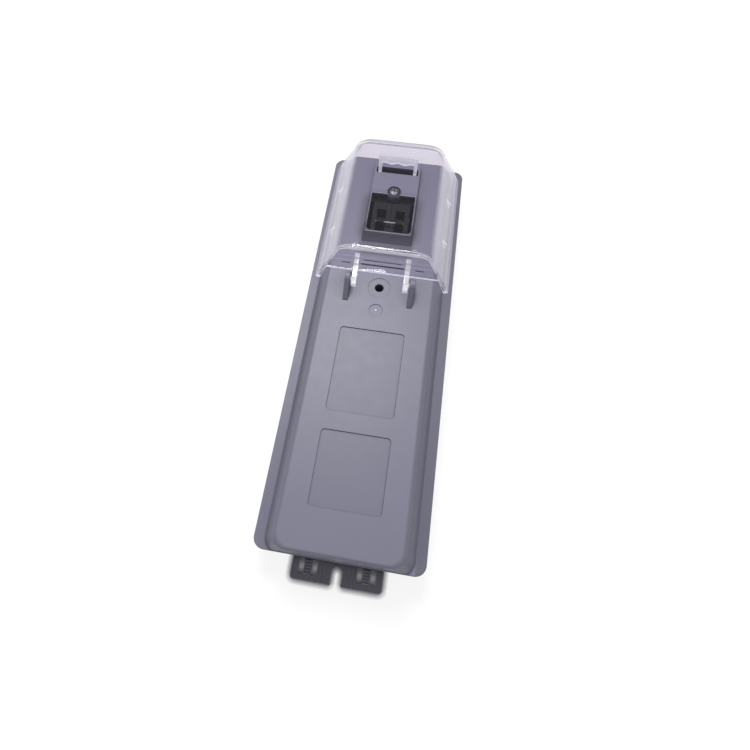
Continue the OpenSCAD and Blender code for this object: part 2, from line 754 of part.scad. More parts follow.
module front_cover() {
    color(cover_grey) from_foot() difference() {
        union() {
            difference() {
                union() {
                    translate([0, 0, tray_h]) linear_extrude(flange_t) plan(0, cover_corner_r);
                    translate([0, 0, tray_h - skirt_h]) linear_extrude(skirt_h + eps) difference() {
                        plan(0, cover_corner_r);
                        plan(skirt_t, cover_corner_r - skirt_t);
                    }
                    dome(0, face_rise, flange_t / 2);
                    platform(0);
                }
                dome(-cover_t, face_rise - cover_t, flange_t + 1);
                platform(cover_t);
                window_cut();
            }
            for (s = [-1, 1])
                across_x(s > 0 ? lug_x : -lug_x - lug_t, s > 0 ? lug_x + lug_t : -lug_x)
                    polygon(lug_outline(6.5));
            // Ledge inside the lower wall, over the gasket
            translate([-ledge_half_l, dome_foot_low + 1, tray_h])
                cube([2 * ledge_half_l, dome_foot + cover_t - dome_foot_low - 1, flange_t - 0.5]);
            // Deep well of the lower screw, cup and tube of the upper one
            translate([0, lower_screw_y, well_seat_z - 2])
                cylinder(r = well_r + well_t, h = face_z - well_seat_z + 1);
            translate([0, upper_screw_y, head_seat_z - 2.4]) cylinder(r = cup_r + cup_t, h = 6.4);
            // Low bead above the drain slit
            translate([-18, slit_y + 4.9, face_z - 1]) cube([36, 1.4, 1.8]);
        }
        translate([0, lower_screw_y, well_seat_z]) cylinder(r = well_r, h = 60);
        translate([0, lower_screw_y, 0]) cylinder(r = 2.2, h = 60);
        translate([0, lower_screw_y, face_z - 0.5]) cylinder(r = 10, h = 5);
        translate([0, gate_y, face_z - 0.7]) cylinder(r = 6, h = 5);
        translate([0, upper_screw_y, head_seat_z]) cylinder(r = cup_r, h = 20);
        translate([0, upper_screw_y, 0]) cylinder(r = 3.3, h = 80);
        for (s = [-1, 1])
            translate([s * lug_x - (s > 0 ? 1 : lug_t + 1), pivot_y, pivot_z])
                rotate([0, 90, 0]) cylinder(r = stub_r + stub_gap, h = lug_t + 2);
        label_recess(upper_label);
        label_recess(lower_label);
        // Slot for the hood's latch, drain slit and its two short neighbours
        translate([-latch_slot[0] / 2, latch_y - latch_slot[1] / 2, platform_z - 8])
            cube([latch_slot[0], latch_slot[1], 20]);
        translate([-slit_half_l, slit_y, face_z - 8]) cube([2 * slit_half_l, slit_w, 20]);
        for (s = [-1, 1])
            translate([s * side_slit_x - side_slit_l / 2, slit_y, face_z - 8])
                cube([side_slit_l, slit_w * 2 / 3, 20]);
    }
}

module screw_seal() {
    color([0.1, 0.1, 0.1]) from_foot()
        translate([0, upper_screw_y, head_seat_z])
            rotate_extrude() translate([4.4, 0.5]) circle(r = 0.5, $fn = 24);
}

module retainer(bore_r, outer_r) {
    difference() {
        cylinder(r = outer_r, h = 1);
        translate([0, 0, -1]) cylinder(r = bore_r, h = 3);
    }
}

module screw_retainers() {
    color([0.9, 0.9, 0.88]) from_foot() {
        translate([0, upper_screw_y, head_seat_z - 3.6]) retainer(3.04, 5.4);
        translate([0, lower_screw_y, post_z + 0.4]) retainer(2.04, 4);
    }
}

module upper_screw() {
    color(steel) from_foot()
        translate([0, upper_screw_y, head_seat_z + 1]) screw(3, 13.5, 5.9, 4.2, 7);
}

module lower_screw() {
    color(steel) from_foot()
        translate([0, lower_screw_y, well_seat_z]) screw(2, 11, 3.5, 2.8, 4);
}

// ---------------------------------------------------------------- hood

// Section of the hood across its width, inset by the wall and cut off below a height
function hood_section(inset) =
    let (side = inset * sqrt(1 + hood_slope * hood_slope),
         crease = hood_side_x - hood_slope * (hood_crease_z - 2) - side,
         z0 = flange_z, rise = hood_rise - inset)
    concat([[hood_side_x + hood_slope * 2 - side, z0], [crease, z0 + hood_crease_z]],
           [for (a = [15:15:90]) [hood_flat_x + (crease - hood_flat_x) * cos(a),
                                  z0 + hood_crease_z + (rise - hood_crease_z) * sin(a)]]);

module hood_shape(inset) {
    pts = hood_section(inset);
    side = inset * sqrt(1 + hood_slope * hood_slope);
    foot_y = cover_l - (cover_w / 2 - hood_side_x) + hood_slope * 2 - side;
    top_y = foot_y - hood_end_slope * hood_crease_z;
    rise = hood_rise - inset;
    corner_r = 10 - inset;
    edge_r = hood_edge_r - inset;
    intersection() {
        along_y(hood_y0 + inset, cover_l)
            polygon(concat(pts, [for (i = [len(pts) - 1:-1:0]) [-pts[i][0], pts[i][1]]]));
        across_x(-cover_w, cover_w)
            polygon(concat([[hood_y0 + inset, flange_z], [foot_y, flange_z],
                            [top_y, flange_z + hood_crease_z]],
                           [for (a = [30:30:90]) [top_y - hood_end_arc * (1 - cos(a)),
                                flange_z + hood_crease_z + (rise - hood_crease_z) * sin(a)]],
                           [for (a = [90:15:180]) [hood_y0 + inset + edge_r * (1 + cos(a)),
                                flange_z + rise - edge_r * (1 - sin(a))]]));
        linear_extrude(hood_z + 1) translate([0, (hood_y0 - corner_r * 3 + foot_y) / 2])
            round_rect(2 * (hood_side_x + hood_slope * 2 - side), foot_y - hood_y0 + corner_r * 3, corner_r);
    }
}

// Space the cover's dome takes, with clearance, as seen along the enclosure
module dome_clearance() {
    h = face_rise + hood_gap;
    foot_x = cover_w / 2 - dome_foot + hood_gap;
    pts = [for (z = dome_levels(h, dome_edge_r))
        [foot_x - wall_inset(z, h, dome_draft, dome_edge_r), flange_z + z]];
    along_y(hood_y0 - 5, hood_y0 + 8)
        polygon(concat(pts, [for (i = [len(pts) - 1:-1:0]) [-pts[i][0], pts[i][1]]],
                       [[-foot_x, flange_z - 5], [foot_x, flange_z - 5]]));
}

// Stepped arm from the end wall down to the pivot
module hood_arm(side) {
    x0 = side > 0 ? arm_x : -arm_x - arm_t;
    across_x(x0, x0 + arm_t)
        polygon(concat(
            [[hood_y0 + 1, face_z + 4], [hood_y0 + 1, arm_top_z], [hood_y0 - 4, arm_top_z],
             [hood_y0 - 4, arm_top_z - 3], [hood_y0 - 9, arm_top_z - 3], [hood_y0 - 9, arm_top_z - 5.5],
             [pivot_y + 4, pivot_z + 6], [pivot_y - 2, pivot_z + 5.6], [pivot_y - arm_tip_r, pivot_z + 2]],
            [for (a = [200:20:320]) [pivot_y + arm_tip_r * cos(a), pivot_z + arm_tip_r * sin(a)]]));
    stub_l = lug_x + lug_t - 0.4 - arm_x - arm_t;
    translate([side > 0 ? arm_x + arm_t - eps : -lug_x - lug_t + 0.4, pivot_y, pivot_z])
        rotate([0, 90, 0]) cylinder(r = stub_r, h = stub_l + eps);
}

// Latch frame that hangs from the hood's top and plugs into the slot of the cover
module hood_latch() {
    leg_w = 3.4;
    web_t = 2.4;
    half = 19;
    top = hood_z - hood_t + eps;
    for (s = [-1, 1])
        translate([s * (half - leg_w / 2) - leg_w / 2, latch_y - 1.6, platform_z - 3.5])
            cube([leg_w, 3.2, top - platform_z + 3.5]);
    translate([-half, latch_y - web_t / 2, platform_z + 7]) cube([2 * half, web_t, top - platform_z - 7]);
}

module clear_hood() {
    color(clear) from_foot() difference() {
        union() {
            difference() {
                hood_shape(0);
                hood_shape(hood_t);
                translate([-cover_w, 0, 0]) cube([2 * cover_w, 2 * cover_l, flange_z + hood_gap]);
            }
            // Lip along the foot of the end wall
            translate([-lip_x, lip_y0, face_z + hood_gap]) cube([2 * lip_x, hood_y0 - lip_y0 + 1, hood_t]);
            for (s = [-1, 1]) hood_arm(s);
            hood_latch();
        }
        dome_clearance();
    }
}

// ---------------------------------------------------------------- output

base_tray();
rim_gasket();
cable_grommets();
din_rail();
rail_screws();
pole_left();
pole_right();
pole_rivets();
toggle_pin();
terminal_cages();
terminal_screws();
toggle_left();
toggle_right();
toggle_tie();
rail_latches();
cover_bridge();
bridge_screws();
upper_insert();
lower_insert();
socket_block();
socket_jaws();
jaw_screws();
socket_screws();
neutral_carrier();
neutral_bar();
neutral_screws();
line_link();
neutral_link();
front_cover();
screw_seal();
screw_retainers();
upper_screw();
lower_screw();
clear_hood();
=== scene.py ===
import json
import math

import bmesh
import bpy
from mathutils import Matrix, Vector


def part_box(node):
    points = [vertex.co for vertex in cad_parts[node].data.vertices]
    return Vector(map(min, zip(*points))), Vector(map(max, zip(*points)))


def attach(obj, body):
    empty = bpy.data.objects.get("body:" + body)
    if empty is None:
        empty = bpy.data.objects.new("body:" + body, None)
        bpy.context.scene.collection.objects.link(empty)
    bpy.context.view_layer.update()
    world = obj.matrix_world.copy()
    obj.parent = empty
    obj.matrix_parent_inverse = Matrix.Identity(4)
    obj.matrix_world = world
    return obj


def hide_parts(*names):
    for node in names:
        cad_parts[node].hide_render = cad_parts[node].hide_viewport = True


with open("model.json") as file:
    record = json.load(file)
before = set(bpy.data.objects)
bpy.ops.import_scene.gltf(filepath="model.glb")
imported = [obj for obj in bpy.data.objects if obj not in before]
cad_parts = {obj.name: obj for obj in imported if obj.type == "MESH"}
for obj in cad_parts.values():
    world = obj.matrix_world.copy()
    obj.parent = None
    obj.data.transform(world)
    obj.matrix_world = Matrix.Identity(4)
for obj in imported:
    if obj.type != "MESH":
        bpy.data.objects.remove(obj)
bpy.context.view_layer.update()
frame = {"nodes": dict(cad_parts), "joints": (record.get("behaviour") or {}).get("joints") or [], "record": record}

# ------------------------------------------------------------------ places and sizes
# Millimetres throughout, with Y measured up from the cover's lower edge; place() turns
# them into the frame's metres.

MM = 0.001
cover_lo, cover_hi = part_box("front_cover")
hood_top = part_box("clear_hood")[1].z
gasket_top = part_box("rim_gasket")[1].z
hinge = next(j for j in frame["joints"] if j["name"] == "hood_hinge")["pos_m"]

# The cover's outline and levels
FOOT = cover_lo.y
HALF_W = cover_hi.x / MM
LENGTH = (cover_hi.y - cover_lo.y) / MM
RIM_Z = gasket_top / MM
SKIRT_Z = 30
FLANGE_T = 2.5
FLANGE_Z = RIM_Z + FLANGE_T
FLANGE_R = 9
FACE_Z = FLANGE_Z + 28
PLATFORM_Z = FLANGE_Z + 33.5
COVER_T = 2.4

# The dome: margin of its foot, corner radius, draft and edge radius. LOW is at the lower end.
DOME_FOOT = 8.7
DOME_FOOT_LOW = 0.6
DOME_R = 18
DOME_R_LOW = 9
DOME_DRAFT = 0.36
DOME_DRAFT_LOW = 0.04
DOME_EDGE_R = 4
DOME_EDGE_R_LOW = 2.5

# Places on the cover. A label recess and the window are half width, lower end, upper end.
LABELS = ((27.8, 111, 187), (28, 35, 95))
LABEL_DEPTH = 0.9
GATE_Y = 207
LOWER_SCREW_Y = 230
SLIT_Y = 252.1
WINDOW = (21, 288, 332)
UPPER_SCREW_Y = 335.5
LATCH_Y = 362

# The hinge and the hood
PIVOT_Y = (hinge[1] - FOOT) / MM
PIVOT_Z = hinge[2] / MM
HOOD_Z = hood_top / MM
HOOD_T = 2.2
HOOD_Y0 = 249.5
HOOD_SIDE_X = 64.4
HOOD_SLOPE = 0.45
HOOD_END_SLOPE = 0.3
HOOD_END_ARC = 6.5
HOOD_CREASE = 44.5
HOOD_FLAT_X = 24
HOOD_EDGE_R = 5
HOOD_GAP = 0.4
LIP_Y0 = 244.2
LATCH_TOP = HOOD_Z - HOOD_T + 0.5
CHEVRONS_Y = (296, 345)
ARCH_RIBS = ((HOOD_Y0 + HOOD_T, HOOD_Y0 + HOOD_T + 0.7), (HOOD_Y0 + 5.8, HOOD_Y0 + 6.4))

# The tray and its fixing tab. A pad is a place in x and y and a height.
TRAY_INSET = 6.5
TRAY_R = 7
TRAY_T = 2.6
TRAY_FLOOR = 3
TAB_HALF = 38
TAB_OUT = 17
TAB_T = 4
TIE_Y = -6.2
TIE_HALF = 5.6
CABLE_X = 24.2
PILLAR = (23, 335.5)
PADS = ((23, 305, 4), (30, 125, 5), (36, 178, 5))
BOSS = (32, 380)

# Rounded corners of level rings
CORNER_STEPS = 10
SMALLEST_R = 0.05


def place(x, y, z):
    return (x * MM, FOOT + y * MM, z * MM)


def local(point):
    """The reverse of place(), for a point of a mesh."""
    return point.x / MM, (point.y - FOOT) / MM, point.z / MM


# ------------------------------------------------------------------ mesh tools


def new_object(name, bm):
    """Turns bmesh faces into an object, with their normals outwards."""
    bmesh.ops.recalc_face_normals(bm, faces=bm.faces)
    mesh = bpy.data.meshes.new(name)
    bm.to_mesh(mesh)
    bm.free()
    obj = bpy.data.objects.new(name, mesh)
    bpy.context.scene.collection.objects.link(obj)
    return obj


def rounded(x0, x1, y0, y1, radii, z):
    """A level rounded rectangle, anticlockwise from the right-hand side. radii is one
    number, or four for the corners: upper right, upper left, lower left, lower right."""
    if not isinstance(radii, tuple):
        radii = (radii,) * 4
    ring = []
    for corner, (x, y) in enumerate(((x1, y1), (x0, y1), (x0, y0), (x1, y0))):
        r = max(radii[corner], SMALLEST_R)
        cx = x - r if corner in (0, 3) else x + r
        cy = y - r if corner in (0, 1) else y + r
        for i in range(CORNER_STEPS + 1):
            a = math.radians(90 * (corner + i / CORNER_STEPS))
            ring.append((cx + r * math.cos(a), cy + r * math.sin(a), z))
    return ring


def disc(x, y, r, z, steps=48):
    turns = [2 * math.pi * i / steps for i in range(steps)]
    return [(x + r * math.cos(a), y + r * math.sin(a), z) for a in turns]


def plan(inset, r, z):
    """The cover's outline, inset by a margin."""
    return rounded(inset - HALF_W, HALF_W - inset, inset, LENGTH - inset, r, z)


def bridge(bm, loops, cap_first=True):
    """Quads between neighbouring loops of vertices, and end caps."""
    n = len(loops[0])
    for low, high in zip(loops, loops[1:]):
        for i in range(n):
            bm.faces.new((low[i], low[(i + 1) % n], high[(i + 1) % n], high[i]))
    if cap_first:
        bm.faces.new(list(reversed(loops[0])))
    bm.faces.new(loops[-1])


def skin(bm, rings, cap_first=True):
    """A surface over rings of points, each with as many points as the next."""
    loops = [[bm.verts.new(place(*p)) for p in ring] for ring in rings]
    bridge(bm, loops, cap_first)
    return loops


def solid(name, rings):
    bm = bmesh.new()
    skin(bm, rings)
    return new_object(name, bm)


def shell(name, outer, inner):
    """A hollow lofted solid, open below: outer and inner rings both run from the rim up."""
    bm = bmesh.new()
    a = skin(bm, outer, cap_first=False)[0]
    b = skin(bm, inner, cap_first=False)[0]
    n = len(a)
    for i in range(n):
        bm.faces.new((a[(i + 1) % n], a[i], b[i], b[(i + 1) % n]))
    return new_object(name, bm)


def slab(name, outline, axis, start, end, bevel=0.0):
    """An outline of two coordinates, extruded along one axis between two places, with its
    sharp edges rounded. Along X the outline is in Y and Z, along Y in X and Z."""

    def at(u, v, w):
        return {"x": (w, u, v), "y": (u, w, v), "z": (u, v, w)}[axis]

    bm = bmesh.new()
    skin(bm, [[at(u, v, w) for u, v in outline] for w in (start, end)])
    if bevel:
        bmesh.ops.recalc_face_normals(bm, faces=bm.faces)
        sharp = [e for e in bm.edges if e.calc_face_angle(0) > math.radians(30)]
        bmesh.ops.bevel(bm, geom=sharp, offset=bevel * MM, segments=3, profile=0.5,
                        affect="EDGES", clamp_overlap=True)
    return new_object(name, bm)


def rect(u0, u1, v0, v1):
    return [(u0, v0), (u1, v0), (u1, v1), (u0, v1)]


def block(name, x0, x1, y0, y1, z0, z1, bevel=0.0):
    return slab(name, rect(x0, x1, y0, y1), "z", z0, z1, bevel)


def lathe(name, profile, x, y, z):
    """A profile of radius and height turned about a vertical axis. It starts and ends on
    discs, which are capped."""
    return solid(name, [disc(x, y, r, z + h) for r, h in profile])


def rod(name, r, start, end, steps=32, edge=0.0):
    """A round bar between two points, its ends chamfered by edge."""
    a, b = Vector(place(*start)), Vector(place(*end))
    turn = (b - a).to_track_quat("Z", "Y").to_matrix().to_4x4()
    length = (b - a).length / MM
    levels = [(r, 0), (r, length)]
    if edge:
        levels = [(r - edge, 0), (r, edge), (r, length - edge), (r - edge, length)]
    bm = bmesh.new()
    loops = []
    for radius, h in levels:
        ring = disc(0, 0, radius * MM, h * MM, steps)
        loops.append([bm.verts.new(Matrix.Translation(a) @ turn @ Vector(p)) for p in ring])
    bridge(bm, loops)
    return new_object(name, bm)


def combine(obj, added=(), removed=()):
    """Adds solids to obj and takes others away, for good."""
    for operation, tools in (("UNION", added), ("DIFFERENCE", removed)):
        for tool in tools:
            modifier = obj.modifiers.new("solid", "BOOLEAN")
            modifier.operation = operation
            modifier.object = tool
            modifier.solver = "MANIFOLD"
    graph = bpy.context.evaluated_depsgraph_get()
    mesh = bpy.data.meshes.new_from_object(obj.evaluated_get(graph))
    obj.modifiers.clear()
    old = obj.data
    obj.data = mesh
    bpy.data.meshes.remove(old)
    for tool in list(added) + list(removed):
        bpy.data.objects.remove(tool)


def finish_mesh(obj, angle):
    """Cleans a mesh and sets its shading: smooth, with edges above the angle kept sharp."""
    too_close = 0.002 * MM
    bm = bmesh.new()
    bm.from_mesh(obj.data)
    bmesh.ops.remove_doubles(bm, verts=bm.verts, dist=too_close)
    bmesh.ops.dissolve_degenerate(bm, edges=bm.edges, dist=too_close)
    bmesh.ops.recalc_face_normals(bm, faces=bm.faces)
    bm.to_mesh(obj.data)
    bm.free()
    obj.data.shade_smooth()
    obj.data.set_sharp_from_angle(angle=math.radians(angle))
    weighted = obj.modifiers.new("normals", "WEIGHTED_NORMAL")
    weighted.keep_sharp = True


def fit_out(obj, body, slot, *nodes, angle=32):
    """Gives a finished piece its shading, material, body and the CAD nodes it stands for."""
    finish_mesh(obj, angle)
    obj.data.materials.clear()
    obj.data.materials.append(materials[slot])
    if nodes:
        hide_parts(*nodes)
    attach(obj, body)


def mark(obj, name, value):
    """Stores a number on each face, for the materials to use."""
    values = obj.data.attributes.new(name, "FLOAT", "FACE")
    for face in obj.data.polygons:
        values.data[face.index].value = value(face)


# ------------------------------------------------------------------ materials


class Nodes:
    """A material's node tree, with short calls for the nodes used here."""

    def __init__(self, name):
        self.material = bpy.data.materials.new(name)
        self.material.use_nodes = True
        self.tree = self.material.node_tree
        self.tree.nodes.clear()
        self.output = self.add("ShaderNodeOutputMaterial")

    def add(self, kind, **settings):
        node = self.tree.nodes.new(kind)
        for key, value in settings.items():
            setattr(node, key, value)
        return node

    def link(self, source, target):
        self.tree.links.new(source, target)

    def coordinates(self, stretch=(1, 1, 1)):
        source = self.add("ShaderNodeTexCoord").outputs["Object"]
        mapping = self.add("ShaderNodeMapping")
        mapping.inputs["Scale"].default_value = stretch
        self.link(source, mapping.inputs["Vector"])
        return mapping.outputs["Vector"]

    def noise(self, size_mm, detail=3, stretch=(1, 1, 1)):
        node = self.add("ShaderNodeTexNoise")
        node.inputs["Scale"].default_value = 1 / (size_mm * MM)
        node.inputs["Detail"].default_value = detail
        self.link(self.coordinates(stretch), node.inputs["Vector"])
        return node.outputs["Fac"]

    def spread(self, value, low, high):
        """Spreads a noise's usual range over low to high."""
        node = self.add("ShaderNodeMapRange")
        node.inputs["From Min"].default_value = 0.3
        node.inputs["From Max"].default_value = 0.7
        node.inputs["To Min"].default_value = low
        node.inputs["To Max"].default_value = high
        self.link(value, node.inputs["Value"])
        return node.outputs["Result"]

    def colours(self, value, low, high):
        """From one fixed colour to another."""
        node = self.add("ShaderNodeMix", data_type="RGBA")
        node.inputs["A"].default_value = (*low, 1)
        node.inputs["B"].default_value = (*high, 1)
        self.link(value, node.inputs["Factor"])
        return node.outputs["Result"]

    def blend(self, share, source, colour):
        """From a node's colour to a fixed one."""
        node = self.add("ShaderNodeMix", data_type="RGBA")
        node.inputs["B"].default_value = (*colour, 1)
        self.link(source, node.inputs["A"])
        self.link(share, node.inputs["Factor"])
        return node.outputs["Result"]

    def math(self, operation, first, second=0.0):
        """One step of arithmetic on nodes or numbers."""
        node = self.add("ShaderNodeMath", operation=operation)
        for i, value in enumerate((first, second)):
            if isinstance(value, (int, float)):
                node.inputs[i].default_value = value
            else:
                self.link(value, node.inputs[i])
        return node.outputs["Value"]

    def layer(self, share, below, above):
        """Mixes two shaders."""
        node = self.add("ShaderNodeMixShader")
        for i, source in enumerate((share, below, above)):
            self.link(source, node.inputs[i])
        return node.outputs["Shader"]

    def band(self, axis, centre, half, soft):
        """1 within half of the centre along an axis of the shared frame, softly down to 0
        beyond it. In millimetres."""
        split = self.add("ShaderNodeSeparateXYZ")
        self.link(self.add("ShaderNodeNewGeometry").outputs["Position"], split.inputs["Vector"])
        away = self.math("ABSOLUTE", self.math("SUBTRACT", split.outputs[axis], centre * MM))
        ramp = self.add("ShaderNodeMapRange", interpolation_type="SMOOTHSTEP")
        for key, value in (("From Min", (half + soft) * MM), ("From Max", half * MM)):
            ramp.inputs[key].default_value = value
        self.link(away, ramp.inputs["Value"])
        return ramp.outputs["Result"]

    def less(self, value, share):
        """1 less a share of the value."""
        return self.math("ADD", self.math("MULTIPLY", value, -share), 1.0)

    def attribute(self, name):
        return self.add("ShaderNodeAttribute", attribute_name=name).outputs["Fac"]

    def bump(self, height, depth_mm, normal=None):
        node = self.add("ShaderNodeBump")
        node.inputs["Distance"].default_value = depth_mm * MM
        self.link(height, node.inputs["Height"])
        if normal is not None:
            self.link(normal, node.inputs["Normal"])
        return node.outputs["Normal"]

    def soft_edge(self, radius_mm):
        node = self.add("ShaderNodeBevel", samples=4)
        node.inputs["Radius"].default_value = radius_mm * MM
        return node.outputs["Normal"]

    def surface(self, **values):
        node = self.add("ShaderNodeBsdfPrincipled")
        for key, value in values.items():
            node.inputs[key.replace("_", " ")].default_value = value
        return node


def shade(colour, share):
    return tuple(c * share for c in colour)


def moulded(name, colour, rough, grain=0.5, depth=0.006, edge=0.3, gloss=0.5, mottle=0.06,
            hollow_shade=0.0, shaded=()):
    """Moulded plastic or rubber: a faint mottle, a fine spark-eroded grain, soft edges.
    hollows paints shade where the surface is hemmed in. shaded lists soft-edged patches of
    painted shade, and of painted light where the amount is negative: how much darker, then
    centre, half width and softness in x and in y. On a mesh, a "tone" value paints light or
    shade on a face, and a "polish" value smooths it."""
    n = Nodes(name)
    shader = n.surface(Specular_IOR_Level=gloss)
    cloud = n.spread(n.noise(28, 4), 0, 1)
    base = n.colours(cloud, shade(colour, 1 - mottle), shade(colour, 1 + mottle))
    # Painted light and shade: a face's "tone" value, shade where the surface is hemmed in, and the patches
    painted_light = n.math("ADD", n.attribute("painted_light"), 1.0)
    if hollow_shade:
        open_sky = n.add("ShaderNodeAmbientOcclusion", samples=8, only_local=True)
        open_sky.inputs["Distance"].default_value = 45 * MM
        lit = n.math("ADD", n.math("MULTIPLY", open_sky.outputs["AO"], hollow_shade), 1 - hollow_shade)
        painted_light = n.math("MULTIPLY", painted_light, lit)
    for dark, across, along in shaded:
        patch = n.math("MULTIPLY", n.band("X", *across), n.band("Y", *along))
        painted_light = n.math("MULTIPLY", painted_light, n.less(patch, dark))
    painted_base = n.add("ShaderNodeVectorMath", operation="SCALE")
    n.link(base, painted_base.inputs[0])
    n.link(painted_light, painted_base.inputs["Scale"])
    n.link(painted_base.outputs["Vector"], shader.inputs["Base Color"])
    satin = n.spread(n.noise(9, 5), rough - 0.015, rough + 0.015)
    smooth = n.math("MULTIPLY", n.attribute("polish"), -0.9 * rough)
    n.link(n.math("ADD", satin, smooth), shader.inputs["Roughness"])
    n.link(n.bump(n.noise(grain, 2), depth, n.soft_edge(edge)), shader.inputs["Normal"])
    n.link(shader.outputs["BSDF"], n.output.inputs["Surface"])
    return n.material


def metal(name, colour, rough, tint, depth=0.004):
    """Plated or turned metal: fine brushing, patches of tint, worn soft edges."""
    n = Nodes(name)
    shader = n.surface(Metallic=1.0)
    n.link(n.colours(n.spread(n.noise(3, 4), 0, 1), colour, tint), shader.inputs["Base Color"])
    lines = n.noise(0.5, 3, stretch=(1, 1, 12))
    n.link(n.spread(lines, rough - 0.06, rough + 0.1), shader.inputs["Roughness"])
    n.link(n.bump(lines, depth, n.soft_edge(0.12)), shader.inputs["Normal"])
    n.link(shader.outputs["BSDF"], n.output.inputs["Surface"])
    return n.material


def clear_plastic(name):
    """Polished polycarbonate: looked through without bending, brighter at a glancing angle.
    On a mesh, an "edge" value lays a painted glow over a face and a "smoke" value lays
    painted shade over the view through it."""
    n = Nodes(name)
    layer = n.add("ShaderNodeLayerWeight")
    layer.inputs["Blend"].default_value = 0.5
    n.link(n.bump(n.noise(14, 2), 0.008), layer.inputs["Normal"])
    glancing = layer.outputs["Facing"]
    # Painted shade: a "smoke" value darkens both the reflection and the view through a face
    painted_shade = n.attribute("painted_shade")

    mirror = n.math("ADD", n.math("MULTIPLY", n.math("POWER", glancing, 5.0), 0.95), 0.04)
    mirror = n.math("MULTIPLY", mirror, n.less(painted_shade, 0.85))
    gloss = n.add("ShaderNodeBsdfGlossy")
    gloss.inputs["Color"].default_value = (0.97, 0.96, 1, 1)
    n.link(n.spread(n.noise(6, 4), 0.02, 0.06), gloss.inputs["Roughness"])

    clear = n.colours(n.noise(40, 2), (0.945, 0.93, 0.962), (0.955, 0.94, 0.972))
    clear = n.blend(n.math("POWER", glancing, 7.0), clear, (0.45, 0.44, 0.50))
    seen = n.add("ShaderNodeBsdfTransparent")
    n.link(n.blend(painted_shade, clear, (0.64, 0.63, 0.68)), seen.inputs["Color"])
    polished = n.layer(mirror, seen.outputs["BSDF"], gloss.outputs["BSDF"])

    # Painted glow: a milky surface with a faint emission of its own, for edges, ribs, arms and the latch
    edge = n.surface(Roughness=0.25, Emission_Strength=0.45)
    edge.inputs["Emission Color"].default_value = (0.93, 0.92, 1, 1)
    milk = n.colours(n.noise(3, 3), (0.84, 0.84, 0.88), (0.95, 0.95, 0.98))
    n.link(milk, edge.inputs["Base Color"])
    lit = n.layer(n.attribute("edge"), polished, edge.outputs["BSDF"])

    # Light falls through nearly unchanged
    passing = n.add("ShaderNodeBsdfTransparent")
    passing.inputs["Color"].default_value = (0.99, 0.99, 1, 1)
    path = n.add("ShaderNodeLightPath")
    lighting = n.math("MAXIMUM", path.outputs["Is Shadow Ray"], path.outputs["Is Diffuse Ray"])
    n.link(n.layer(lighting, lit, passing.outputs["BSDF"]), n.output.inputs["Surface"])
    return n.material


# Painted shade and light on the cover, as moulded() takes it, with y measured from the frame's origin
COVER_SHADES = (
    (0.55, (0, 22, 6), (81, 14, 6)),  # the slope at the platform's lower end
    (0.5, (0, 22, 12), (108, 18, 13)),  # around the window
    (0.22, (65, 5, 2), (0, 300, 1)),  # the flange on the side away from the light
    # Painted light: the dome's wall beside that flange is lightened
    (-0.3, (56.5, 2.5, 2), (0, 300, 1)),  # the dome's wall beside that flange
)

materials = {
    # The cover: painted shade where it is hemmed in, and the painted shade and light of COVER_SHADES
    "cover_plastic": moulded("cover_plastic", (0.231, 0.226, 0.305), 0.42, gloss=0.45,
                             mottle=0.015, hollow_shade=0.5, shaded=COVER_SHADES),
    "tray_plastic": moulded("tray_plastic", (0.088, 0.083, 0.118), 0.22, depth=0.004, gloss=0.6),
    "clear_polycarbonate": clear_plastic("clear_polycarbonate"),
    "gasket_rubber": moulded("gasket_rubber", (0.018, 0.018, 0.018), 0.75, 0.3, 0.02, gloss=0.3),
    "grommet_rubber": moulded("grommet_rubber", (0.022, 0.022, 0.024), 0.65, 0.3, 0.02, gloss=0.3),
    "zinc_steel": metal("zinc_steel", (0.40, 0.41, 0.43), 0.5, (0.44, 0.43, 0.39)),
    "bright_steel": metal("bright_steel", (0.20, 0.20, 0.22), 0.45, (0.26, 0.26, 0.28), depth=0.001),
    "brass_parts": metal("brass_parts", (0.78, 0.56, 0.26), 0.26, (0.70, 0.46, 0.20)),
    "breaker_plastic": moulded("breaker_plastic", (0.018, 0.017, 0.022), 0.5, 0.4, 0.01, gloss=0.12),
    "toggle_plastic": moulded("toggle_plastic", (0.022, 0.021, 0.026), 0.5, 0.4, 0.005, gloss=0.15),
    "latch_plastic": moulded("latch_plastic", (0.62, 0.62, 0.57), 0.42, 0.4, 0.006),
    "socket_plastic": moulded("socket_plastic", (0.075, 0.075, 0.085), 0.5, 0.4, 0.012),
    "neutral_plastic": moulded("neutral_plastic", (0.03, 0.10, 0.36), 0.38, 0.4, 0.006),
    "brown_insulation": moulded("brown_insulation", (0.17, 0.065, 0.03), 0.3, 0.7, 0.01, edge=0.1),
    "blue_insulation": moulded("blue_insulation", (0.025, 0.10, 0.38), 0.3, 0.7, 0.01, edge=0.1),
}


# ------------------------------------------------------------------ front cover


def wall_inset(z, height, draft, r):
    """Inset, at height z, of a drafted wall whose upper edge is rounded."""
    a = math.atan(1 / draft)
    arc_z = height - r * (1 - math.cos(a))
    if z < arc_z:
        return draft * z
    return draft * arc_z + r * math.sin(a) - math.sqrt(max(0.0, r * r - (r - height + z) ** 2))


def dome_plan(side, low, r, r_low, z):
    """A level ring with one margin at the sides and upper end, another at the lower end."""
    return rounded(side - HALF_W, HALF_W - side, low, LENGTH - side, (r, r, r_low, r_low), z)


